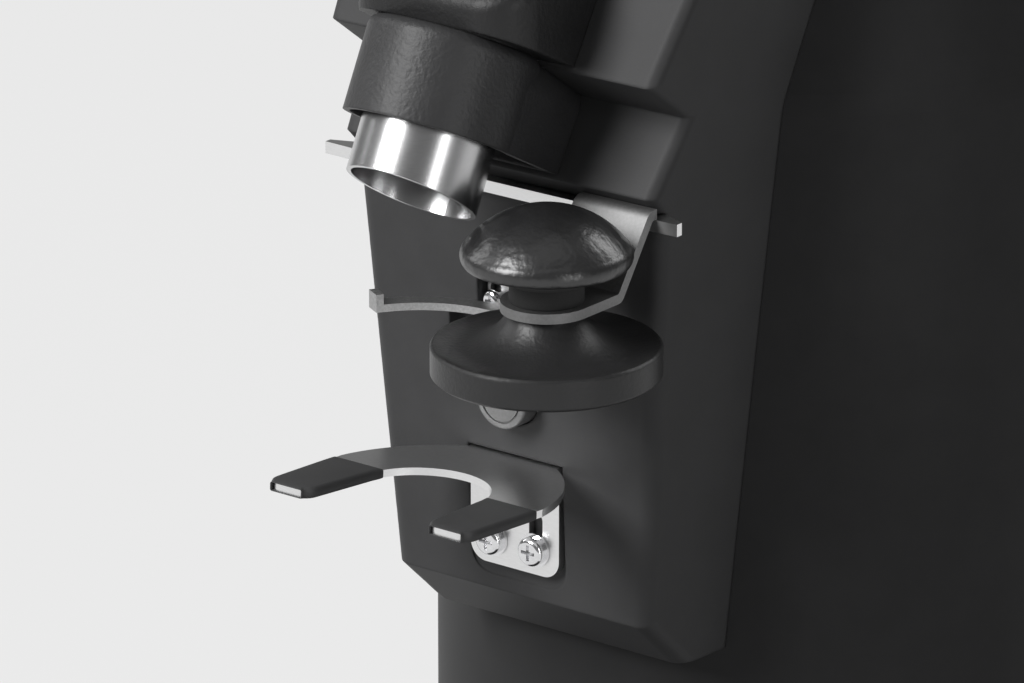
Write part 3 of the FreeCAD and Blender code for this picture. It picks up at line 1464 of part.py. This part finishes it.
def switch_body():
    """Fixed frame of the power switch, open towards the left."""
    z = FOOT_HEIGHT + BASE_HEIGHT / 2
    x0 = -BASE_R + SWITCH_POCKET / 2
    outer = Part.makeBox(22, ROCKER_LENGTH, ROCKER_HEIGHT,
                         Vector(x0, ROCKER_Y - ROCKER_LENGTH / 2, z - ROCKER_HEIGHT / 2))
    room = Part.makeBox(12, ROCKER_LENGTH - 3, ROCKER_HEIGHT - 3,
                        Vector(x0 - 1, ROCKER_Y - ROCKER_LENGTH / 2 + 1.5, z - ROCKER_HEIGHT / 2 + 1.5))
    bore = Part.makeCylinder(ROCKER_PIN_R + RUN, ROCKER_HEIGHT - 0.6,
                             rocker_pivot() - UP * (ROCKER_HEIGHT / 2 - 0.3))
    return outer.cut(room).cut(bore)


def power_rocker():
    """Rocking key with a shallow dip, turning about an upright pin."""
    pivot = rocker_pivot()
    half = ROCKER_LENGTH / 2 - 2.4
    depth = 5.2
    corners = [(-half, -depth), (0, -depth + 1.6), (half, -depth), (half * 0.7, 3), (-half * 0.7, 3)]
    height = ROCKER_HEIGHT - 4
    face = flat_face([pivot + Vector(x, y, -height / 2) for y, x in corners])
    key = face.extrude(UP * height)
    key.rotate(pivot, UP, -ROCKER_TILT)
    pin = Part.makeCylinder(ROCKER_PIN_R, ROCKER_HEIGHT - 1, pivot - UP * (ROCKER_HEIGHT - 1) / 2)
    return key.fuse(pin).removeSplitter()


def power_inlet():
    """Bush in the back wall of the base, where a mains lead would enter."""
    place = inlet_place()
    back = Vector(0, 1, 0)
    body = Part.makeCylinder(INLET_R - 1 - SEAT, 10, place - back * 8, back)
    flange = Part.makeCylinder(INLET_R + 1.5, 4, place + back * SEAT, back)
    bore = Part.makeCylinder(INLET_BORE, 40, place - back * 20, back)
    return body.fuse(flange).cut(bore).removeSplitter()


PIECES = {
    "base_plate": base_plate,
    "base_screws": base_screws,
    "bottom_cover": bottom_cover,
    "rubber_feet": rubber_feet,
    "grounds_tray": grounds_tray,
    "main_housing": main_housing,
    "front_column": front_column,
    "chute_hood": chute_hood,
    "control_panel": control_panel,
    "display_lens": display_lens,
    "menu_button_left": lambda: menu_button(0),
    "menu_button_middle": lambda: menu_button(1),
    "menu_button_right": lambda: menu_button(2),
    "control_board": control_board,
    "grounds_chute": grounds_chute,
    "spout_housing": spout_housing,
    "spout_tube": spout_tube,
    "holder_bar": lambda: bar_plate(0),
    "tamper_arm": tamper_arm,
    "tamper_knob": tamper_knob,
    "tamper_base": tamper_base,
    "tamper_stud": tamper_stud,
    "fork_plate": fork_plate,
    "fork_cap_left": lambda: fork_cap(-1),
    "fork_cap_right": lambda: fork_cap(1),
    "fork_screws": fork_screws,
    "hook_plate": hook_plate,
    "hook_screws": hook_screws,
    "start_button": start_button,
    "button_guide": button_guide,
    "button_spring": button_spring,
    "start_switch": start_switch,
    "burr_chamber": burr_chamber,
    "chamber_screws": chamber_screws,
    "burr_carrier": burr_carrier,
    "lower_burr": lower_burr,
    "lower_burr_screws": lower_burr_screws,
    "upper_carrier": upper_carrier,
    "upper_burr": upper_burr,
    "upper_burr_screws": upper_burr_screws,
    "adjusting_collar": adjusting_collar,
    "hopper": hopper,
    "finger_guard": finger_guard,
    "hopper_gate": hopper_gate,
    "hopper_lid": hopper_lid,
    "motor_frame": motor_frame,
    "motor_bolts": motor_bolts,
    "stator_core": stator_core,
    "stator_windings": stator_windings,
    "rotor_core": rotor_core,
    "motor_shaft": motor_shaft,
    "lower_bearing": lower_bearing,
    "upper_bearing": upper_bearing,
    "cooling_fan": cooling_fan,
    "run_capacitor": run_capacitor,
    "switch_body": switch_body,
    "power_rocker": power_rocker,
    "power_inlet": power_inlet,
}

os.makedirs("parts", exist_ok=True)
for name, make in PIECES.items():
    shape = make()
    shape.exportStep("parts/" + name + ".step")
    box = shape.BoundBox
    print(name, len(shape.Solids), "valid" if shape.isValid() else "INVALID", round(shape.Volume, 1),
          [round(v, 1) for v in (box.XMin, box.XMax, box.YMin, box.YMax, box.ZMin, box.ZMax)])
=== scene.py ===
import math

import bmesh
import bpy
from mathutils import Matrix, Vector


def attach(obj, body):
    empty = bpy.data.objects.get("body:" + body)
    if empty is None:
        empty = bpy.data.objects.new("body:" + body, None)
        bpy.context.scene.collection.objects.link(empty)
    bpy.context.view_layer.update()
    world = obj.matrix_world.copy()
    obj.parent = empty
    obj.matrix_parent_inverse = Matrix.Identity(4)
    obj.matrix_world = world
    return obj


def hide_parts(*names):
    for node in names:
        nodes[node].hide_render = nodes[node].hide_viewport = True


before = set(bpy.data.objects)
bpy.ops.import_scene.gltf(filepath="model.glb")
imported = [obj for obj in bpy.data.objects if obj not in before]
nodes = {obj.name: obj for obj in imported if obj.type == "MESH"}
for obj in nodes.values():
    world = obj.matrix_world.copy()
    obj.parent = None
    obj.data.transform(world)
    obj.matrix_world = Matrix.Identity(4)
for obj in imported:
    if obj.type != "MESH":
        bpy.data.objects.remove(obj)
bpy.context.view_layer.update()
scene = bpy.context.scene

# Layout shared with the solids, in metres
MM = 0.001
FACE_Y = -0.07675
FORK_LEVEL = 0.215


def at(x, forward, rise):
    """A point in mm from the middle of the column face at fork level."""
    return Vector((x * MM, FACE_Y - forward * MM, FORK_LEVEL + rise * MM))


def pointing(azimuth, elevation):
    """Unit direction in degrees: azimuth from the front to the right, elevation above the horizon."""
    turn, lift = math.radians(azimuth), math.radians(elevation)
    return Vector((math.sin(turn) * math.cos(lift), -math.cos(turn) * math.cos(lift), math.sin(lift)))


# Materials
CLOUD_SCALE = 60.0
COAT_SWING = 0.05
COAT_RELIEF = 0.35
EDGE_SAMPLES = 4
METAL_SWING = 0.03
METAL_RELIEF = 0.04
METAL_DEPTH = 0.00002
HAZE_SCALE = 25.0
HAZE_SPREAD = 0.1
HAZE_SWING = 0.04


def shader(name):
    """A new material with its nodes, links and main shader."""
    made = bpy.data.materials.new(name)
    made.use_nodes = True
    tree = made.node_tree
    return made, tree.nodes, tree.links, tree.nodes["Principled BSDF"]


def noise(made_nodes, links, scale, detail=4.0, roughness=0.6, stretch=None):
    """Noise in the object's own metres, optionally stretched along an axis."""
    place = made_nodes.new("ShaderNodeTexCoord")
    texture = made_nodes.new("ShaderNodeTexNoise")
    texture.inputs["Scale"].default_value = scale
    texture.inputs["Detail"].default_value = detail
    texture.inputs["Roughness"].default_value = roughness
    if stretch is None:
        links.new(place.outputs["Object"], texture.inputs["Vector"])
    else:
        mapping = made_nodes.new("ShaderNodeMapping")
        mapping.inputs["Scale"].default_value = stretch
        links.new(place.outputs["Object"], mapping.inputs["Vector"])
        links.new(mapping.outputs["Vector"], texture.inputs["Vector"])
    return texture.outputs["Fac"]


def ramp(made_nodes, links, source, low, high, start=0.3, end=0.7):
    """Turn a grey value into a run between two colours."""
    made = made_nodes.new("ShaderNodeValToRGB")
    made.color_ramp.elements[0].position = start
    made.color_ramp.elements[1].position = end
    made.color_ramp.elements[0].color = (*low, 1)
    made.color_ramp.elements[1].color = (*high, 1)
    links.new(source, made.inputs["Fac"])
    return made.outputs["Color"]


def span(made_nodes, links, source, low, high):
    """Map a grey value onto a range of numbers."""
    made = made_nodes.new("ShaderNodeMapRange")
    made.inputs["To Min"].default_value = low
    made.inputs["To Max"].default_value = high
    links.new(source, made.inputs["Value"])
    return made.outputs["Result"]


def bump(made_nodes, links, source, strength, distance, bsdf, flat=False):
    """Fine relief; flat keeps the plain faces of sheet metal level up to their bends."""
    made = made_nodes.new("ShaderNodeBump")
    if flat:
        geometry = made_nodes.new("ShaderNodeNewGeometry")
        links.new(geometry.outputs["True Normal"], made.inputs["Normal"])
    made.inputs["Strength"].default_value = strength
    made.inputs["Distance"].default_value = distance
    links.new(source, made.inputs["Height"])
    links.new(made.outputs["Normal"], bsdf.inputs["Normal"])
    return made


def tinted(made_nodes, links, source, tone, spread):
    """A run of colours round one tone."""
    low = [c * (1 - spread) for c in tone]
    high = [min(1.0, c * (1 + spread)) for c in tone]
    return ramp(made_nodes, links, source, low, high)


def coated(name, tone, spread, roughness, grain, depth, specular=0.5, soft=0.0):
    """Dull coat or moulded plastic with a fine grain; soft is the radius of its edges in metres."""
    made, ns, links, bsdf = shader(name)
    cloud = noise(ns, links, CLOUD_SCALE)
    links.new(tinted(ns, links, cloud, tone, spread), bsdf.inputs["Base Color"])
    rough = span(ns, links, cloud, roughness - COAT_SWING, roughness + COAT_SWING)
    links.new(rough, bsdf.inputs["Roughness"])
    bsdf.inputs["Specular IOR Level"].default_value = specular
    fine = noise(ns, links, grain, 2.0, 0.5)
    relief = bump(ns, links, fine, COAT_RELIEF, depth, bsdf)
    if soft:
        edge = ns.new("ShaderNodeBevel")
        edge.samples = EDGE_SAMPLES
        edge.inputs["Radius"].default_value = soft
        links.new(edge.outputs["Normal"], relief.inputs["Normal"])
    return made


def metal(name, tone, roughness, stretch, grain=900.0, spread=0.055, flat=False):
    """Metal with fine streaks along one direction, or specks where stretch is even."""
    made, ns, links, bsdf = shader(name)
    streak = noise(ns, links, grain, 3.0, 0.6, stretch)
    links.new(tinted(ns, links, streak, tone, spread), bsdf.inputs["Base Color"])
    rough = span(ns, links, streak, roughness - METAL_SWING, roughness + METAL_SWING)
    links.new(rough, bsdf.inputs["Roughness"])
    bsdf.inputs["Metallic"].default_value = 1.0
    bump(ns, links, streak, METAL_RELIEF, METAL_DEPTH, bsdf, flat)
    return made


def clear(name, tone, alpha, roughness):
    """Tinted clear plastic with a faint haze."""
    made, ns, links, bsdf = shader(name)
    cloud = noise(ns, links, HAZE_SCALE)
    links.new(tinted(ns, links, cloud, tone, HAZE_SPREAD), bsdf.inputs["Base Color"])
    links.new(span(ns, links, cloud, roughness, roughness + HAZE_SWING), bsdf.inputs["Roughness"])
    bsdf.inputs["Alpha"].default_value = alpha
    return made


charcoal = coated("charcoal_coat", (0.027, 0.027, 0.0275), 0.10, 0.52, 2600.0, 0.00004, 0.12)
column_coat = coated("column_coat", (0.053, 0.053, 0.054), 0.08, 0.50, 1500.0, 0.00010, 0.14, 0.0012)
spout_coat = coated("spout_coat", (0.033, 0.033, 0.034), 0.12, 0.46, 800.0, 0.00045, 0.36, 0.0009)
hood_coat = coated("hood_coat", (0.020, 0.020, 0.0205), 0.12, 0.46, 800.0, 0.00040, 0.30, 0.0009)
plastic = coated("black_plastic", (0.026, 0.026, 0.027), 0.10, 0.45, 3000.0, 0.00003, 0.30)
knob_coat = coated("knob_plastic", (0.017, 0.017, 0.0175), 0.15, 0.30, 420.0, 0.00060, 0.80, 0.0009)
tamper_coat = coated("tamper_coat", (0.020, 0.020, 0.0205), 0.10, 0.40, 900.0, 0.00030, 0.40, 0.0009)
rubber = coated("rubber", (0.055, 0.055, 0.056), 0.10, 0.58, 2200.0, 0.00005, 0.30)
board_green = coated("board_green", (0.03, 0.16, 0.07), 0.15, 0.5, 1200.0, 0.00004, 0.4)
iron = coated("lamination", (0.16, 0.16, 0.165), 0.2, 0.55, 1500.0, 0.0001, 0.5)
copper = metal("winding_copper", (0.72, 0.38, 0.20), 0.35, (1.0, 1.0, 12.0), 300.0)
steel = metal("brushed_steel", (0.70, 0.70, 0.705), 0.26, (1.0, 1.0, 8.0), 700.0)
plate = metal("plate_steel", (0.80, 0.80, 0.80), 0.30, (1.0, 1.0, 4.0), 700.0, 0.03, True)
worn = metal("worn_steel", (0.42, 0.42, 0.42), 0.42, (1.0, 1.0, 1.0), 1500.0, 0.16, True)
dull = metal("dull_steel", (0.25, 0.25, 0.25), 0.58, (1.0, 1.0, 1.0), 1200.0, 0.10, True)
turned = metal("turned_steel", (0.56, 0.56, 0.565), 0.25, (1.0, 1.0, 14.0), 500.0)
bright = metal("zinc_bright", (0.78, 0.78, 0.79), 0.15, (1.0, 1.0, 1.0), 500.0)
burr_steel = metal("burr_steel", (0.56, 0.56, 0.57), 0.24, (5.0, 1.0, 1.0))
alloy = metal("cast_alloy", (0.62, 0.62, 0.62), 0.42, (1.0, 1.0, 1.0), 700.0)
smoke = clear("smoke_clear", (0.07, 0.066, 0.062), 0.24, 0.10)
display = clear("display_glass", (0.012, 0.013, 0.016), 0.97, 0.08)


# Sockets of a Mix node by number: first value, second value, result
MIX_COLOUR = (6, 7, 2)
MIX_NUMBER = (2, 3, 0)


def painted_shade_below(made, level, run, tone, rough):
    """Painted shade: a darker, rougher look under a level of the object's own height, over a short
    run.
    """
    ns, links = made.node_tree.nodes, made.node_tree.links
    bsdf = ns["Principled BSDF"]
    place = ns.new("ShaderNodeTexCoord")
    split = ns.new("ShaderNodeSeparateXYZ")
    links.new(place.outputs["Object"], split.inputs["Vector"])
    share = ns.new("ShaderNodeMapRange")
    share.inputs["From Min"].default_value = level - run
    share.inputs["From Max"].default_value = level
    links.new(split.outputs["Z"], share.inputs["Value"])
    rows = (("Base Color", "RGBA", (tone, tone, tone, 1), *MIX_COLOUR),
            ("Roughness", "FLOAT", rough, *MIX_NUMBER))
    for socket, kind, low, under, over, out in rows:
        source = bsdf.inputs[socket].links[0].from_socket
        mix = ns.new("ShaderNodeMix")
        mix.data_type = kind
        links.new(share.outputs["Result"], mix.inputs[0])
        mix.inputs[under].default_value = low
        links.new(source, mix.inputs[over])
        links.new(mix.outputs[out], bsdf.inputs[socket])


# The knob's neck, under its dome, gets painted shade: a darker, rougher look that stands in for the
# dome's shadow
KNOB_DOME = 0.0150
NECK_SHADE_RUN = 0.001
NECK_SHADE_TONE = 0.004
NECK_SHADE_ROUGH = 0.85
knob_high = max(v.co.z for v in nodes["tamper_knob"].data.vertices)
painted_shade_below(knob_coat, knob_high - KNOB_DOME, NECK_SHADE_RUN, NECK_SHADE_TONE, NECK_SHADE_ROUGH)

LOOKS = {
    charcoal: "base_plate main_housing",
    column_coat: "front_column",
    spout_coat: "spout_housing",
    hood_coat: "chute_hood",
    plastic: "bottom_cover control_panel menu_button_left menu_button_middle menu_button_right"
             " grounds_chute button_guide start_switch adjusting_collar finger_guard hopper_gate"
             " hopper_lid cooling_fan switch_body power_rocker power_inlet grounds_tray",
    knob_coat: "tamper_knob",
    tamper_coat: "tamper_base",
    rubber: "rubber_feet fork_cap_left fork_cap_right",
    board_green: "control_board",
    iron: "stator_core rotor_core",
    copper: "stator_windings",
    steel: "button_spring",
    plate: "fork_plate holder_bar",
    worn: "hook_plate",
    dull: "tamper_arm start_button",
    turned: "spout_tube",
    bright: "base_screws fork_screws hook_screws chamber_screws lower_burr_screws upper_burr_screws"
            " motor_bolts tamper_stud",
    burr_steel: "lower_burr upper_burr motor_shaft lower_bearing upper_bearing",
    alloy: "burr_chamber burr_carrier upper_carrier motor_frame run_capacitor",
    smoke: "hopper",
    display: "display_lens",
}
for material, names in LOOKS.items():
    for name in names.split():
        mesh = nodes[name].data
        mesh.materials.clear()
        mesh.materials.append(material)


# Rubber sleeves on the fork's prongs, in place of the plain caps, in mm
SLEEVE_WALL = 0.5
SLEEVE_ROUND = 1.25
SLEEVE_CROWN = 0.25
SLEEVE_STEPS = (33.0, 33.2, 33.6, 34.4, 36.0, 38.0, 41.0, 45.0, 49.0,
                53.0, 56.0, 57.4, 58.4, 59.2, 59.8, 60.3, 60.8, 61.1)
SLEEVE_STRAIGHT = 60.0
SLEEVE_LIP = 0.45
LIP_RUN = 0.8
CROWN_RUN = 6.0
BORE_ROOM = 0.03
BORE_ROUND = 0.2
CORNER_STEPS = 5
SHARP_ANGLE = math.radians(50)
PRONG_TIP = 60.6
PRONG_ROUND = 3.6
PRONG_THICK = 2.0
PRONG_OUTER = 32.6
PRONG_TAPER = 0.4
GAP_FORWARD = 38.0
GAP_RADIUS = 17.6
GAP_FLARE = 1.6
FORK_RISE = -5.3
FORK_ROOT = -2.3
FORK_TILT = math.radians(3.5)


def prong_sides(forward):
    """Inner and outer edge of a prong at a distance forward of the face, in mm."""
    share = (forward - GAP_FORWARD) / (PRONG_TIP - GAP_FORWARD)
    if forward < GAP_FORWARD:
        inner = math.sqrt(GAP_RADIUS ** 2 - (GAP_FORWARD - forward) ** 2)
    else:
        inner = GAP_RADIUS + GAP_FLARE * share
    outer = PRONG_OUTER - PRONG_TAPER * max(share, 0.0)
    into = forward - (PRONG_TIP - PRONG_ROUND)
    trim = PRONG_ROUND - math.sqrt(PRONG_ROUND ** 2 - into ** 2) if into > 0 else 0.0
    return inner + trim, outer - trim


def sleeve_ring(forward, wall, round_off, crown):
    """Points round one section of a sleeve: across and up, in mm."""
    inner, outer = prong_sides(min(forward, SLEEVE_STRAIGHT))
    half_x = (outer - inner) / 2 + wall
    half_z = PRONG_THICK / 2 + wall
    points = []
    for corner in range(4):
        sign_x = 1 if corner in (0, 3) else -1
        sign_z = 1 if corner in (0, 1) else -1
        for step in range(CORNER_STEPS + 1):
            angle = math.radians(90 * corner + 90 / CORNER_STEPS * step)
            x = sign_x * (half_x - round_off) + round_off * math.cos(angle)
            z = sign_z * (half_z - round_off) + round_off * math.sin(angle)
            if z > 0:
                z += crown * (1 - (x / half_x) ** 2)
            points.append(((inner + outer) / 2 + x, z - PRONG_THICK / 2))
    return points


def on_fork(x, forward, rise):
    """A point in mm on the level fork, put where its tilt takes it."""
    ahead = forward - FORK_ROOT
    turned_ahead = ahead * math.cos(FORK_TILT) - rise * math.sin(FORK_TILT)
    turned_rise = ahead * math.sin(FORK_TILT) + rise * math.cos(FORK_TILT)
    return at(x, FORK_ROOT + turned_ahead, FORK_RISE + turned_rise)


def sleeve(name, side):
    """A sleeve on one prong: outer rings to the tip, then bore rings back to the root."""
    mesh = bmesh.new()
    rings = []
    first, last = SLEEVE_STEPS[0], SLEEVE_STEPS[-1]
    for forward in SLEEVE_STEPS:
        near = min(forward - first, last - forward)
        swell = min(1.0, SLEEVE_LIP + (1 - SLEEVE_LIP) * near / LIP_RUN)
        crown = SLEEVE_CROWN * min(1.0, near / CROWN_RUN)
        rings.append((forward, sleeve_ring(forward, SLEEVE_WALL * swell, SLEEVE_ROUND * swell, crown)))
    for forward in reversed(SLEEVE_STEPS):
        rings.append((forward, sleeve_ring(forward, BORE_ROOM, BORE_ROUND, 0.0)))
    made = [[mesh.verts.new(on_fork(side * x, forward, z)) for x, z in points]
            for forward, points in rings]
    count = len(made[0])
    for one, two in zip(made, made[1:] + made[:1]):
        for k in range(count):
            mesh.faces.new((one[k], one[(k + 1) % count], two[(k + 1) % count], two[k]))
    bmesh.ops.recalc_face_normals(mesh, faces=mesh.faces)
    data = bpy.data.meshes.new(name)
    mesh.to_mesh(data)
    mesh.free()
    data.polygons.foreach_set("use_smooth", [True] * len(data.polygons))
    data.set_sharp_from_angle(angle=SHARP_ANGLE)
    data.materials.append(rubber)
    piece = bpy.data.objects.new(name, data)
    scene.collection.objects.link(piece)
    return piece


for side, hand in ((-1, "left"), (1, "right")):
    piece = sleeve("sleeve_" + hand, side)
    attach(piece, "fork")
    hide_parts("fork_cap_" + hand)


# Stage: pale floor, pale surroundings, soft studio light
def seen_share(made_nodes, links, share):
    """A share for rays from the camera, mirrors and clear pieces, and nothing for the rest."""
    path = made_nodes.new("ShaderNodeLightPath")
    total = path.outputs["Is Camera Ray"]
    for ray in ("Is Glossy Ray", "Is Transmission Ray"):
        either = made_nodes.new("ShaderNodeMath")
        either.operation = "MAXIMUM"
        links.new(total, either.inputs[0])
        links.new(path.outputs[ray], either.inputs[1])
        total = either.outputs[0]
    scaled = made_nodes.new("ShaderNodeMath")
    scaled.operation = "MULTIPLY"
    scaled.inputs[1].default_value = share
    links.new(total, scaled.inputs[0])
    return scaled.outputs[0]


BACKDROP = (0.83, 0.83, 0.83)
SURROUND = (0.06, 0.06, 0.06)
SURROUND_MIRRORED = (0.18, 0.18, 0.18)
FLOOR_SEEN = (0.95, 0.95, 0.95)
FLOOR_SHARE = 0.8
FLOOR_LOW = (0.34, 0.34, 0.34)
FLOOR_HIGH = (0.36, 0.36, 0.36)
FLOOR_SIZE = 14.0
FLOOR_DROP = 0.0005


def floor_material():
    """Pale floor that keeps the object's shadow under an even tone."""
    made, ns, links, bsdf = shader("pale_floor")
    cloud = noise(ns, links, 3.0)
    links.new(ramp(ns, links, cloud, FLOOR_LOW, FLOOR_HIGH), bsdf.inputs["Base Color"])
    bsdf.inputs["Roughness"].default_value = 0.9
    bsdf.inputs["Specular IOR Level"].default_value = 0.1
    plain = ns.new("ShaderNodeEmission")
    plain.inputs["Color"].default_value = (*FLOOR_SEEN, 1)
    mix = ns.new("ShaderNodeMixShader")
    links.new(seen_share(ns, links, FLOOR_SHARE), mix.inputs["Fac"])
    links.new(bsdf.outputs["BSDF"], mix.inputs[1])
    links.new(plain.outputs["Emission"], mix.inputs[2])
    links.new(mix.outputs["Shader"], ns["Material Output"].inputs["Surface"])
    return made


bpy.ops.mesh.primitive_plane_add(size=FLOOR_SIZE, location=(0, 0, -FLOOR_DROP))
floor = bpy.context.object
floor.name = "floor"
floor.data.materials.append(floor_material())

world = bpy.data.worlds.new("studio")
scene.world = world
world.use_nodes = True
tree = world.node_tree
path = tree.nodes.new("ShaderNodeLightPath")


def world_step(under, ray, tone):
    """Give one kind of ray its own tone of the surroundings."""
    made = tree.nodes.new("ShaderNodeMix")
    made.data_type = "RGBA"
    first, second, result = MIX_COLOUR
    tree.links.new(path.outputs[ray], made.inputs[0])
    if isinstance(under, tuple):
        made.inputs[first].default_value = (*under, 1)
    else:
        tree.links.new(under, made.inputs[first])
    made.inputs[second].default_value = (*tone, 1)
    return made.outputs[result]


tint = world_step(SURROUND, "Is Glossy Ray", SURROUND_MIRRORED)
tint = world_step(tint, "Is Transmission Ray", BACKDROP)
tint = world_step(tint, "Is Camera Ray", BACKDROP)
tree.links.new(tint, tree.nodes["Background"].inputs["Color"])


# Lamps round the middle of the column: azimuth, elevation, distance, watts, width, height and the
# share of their light that diffuse surfaces take
LAMPS = {
    "key": (-24, 37, 2.6, 78.0, 1.0, 1.5, 1.0),
    "side": (70, 10, 2.4, 11.0, 0.3, 1.6, 0.15),
    "left": (-80, 26, 2.4, 6.0, 0.5, 0.9, 0.1),
    "back": (168, 34, 2.6, 22.0, 1.2, 1.2, 1.0),
    "top": (60, 78, 2.4, 2.0, 1.4, 1.4, 1.0),
}
middle = at(0, 0, 40)
for name, (azimuth, elevation, distance, watts, width, height, diffuse) in LAMPS.items():
    light = bpy.data.lights.new(name, "AREA")
    light.shape = "RECTANGLE"
    light.size = width
    light.size_y = height
    light.energy = watts
    light.diffuse_factor = diffuse
    item = bpy.data.objects.new(name, light)
    scene.collection.objects.link(item)
    item.location = middle + distance * pointing(azimuth, elevation)
    item.rotation_mode = "QUATERNION"
    item.rotation_quaternion = (middle - item.location).to_track_quat("-Z", "Y")

# Camera at the photograph's viewing angle
AZIMUTH = 38.0
ELEVATION = 19.0
DISTANCE = 1.8
PX_PER_M = 3910.0
PHOTO_WIDTH = 1024
SENSOR = 36.0
target = at(-0.8, 0, 26.0)
away = pointing(AZIMUTH, ELEVATION)
data = bpy.data.cameras.new("camera")
data.sensor_width = SENSOR
data.lens = PX_PER_M * DISTANCE * SENSOR / PHOTO_WIDTH
camera = bpy.data.objects.new("camera", data)
scene.collection.objects.link(camera)
camera.location = target + away * DISTANCE
camera.rotation_mode = "QUATERNION"
camera.rotation_quaternion = (-away).to_track_quat("-Z", "Y")
data.clip_start = 0.05
data.clip_end = 60.0
scene.camera = camera
scene.view_settings.view_transform = "Standard"
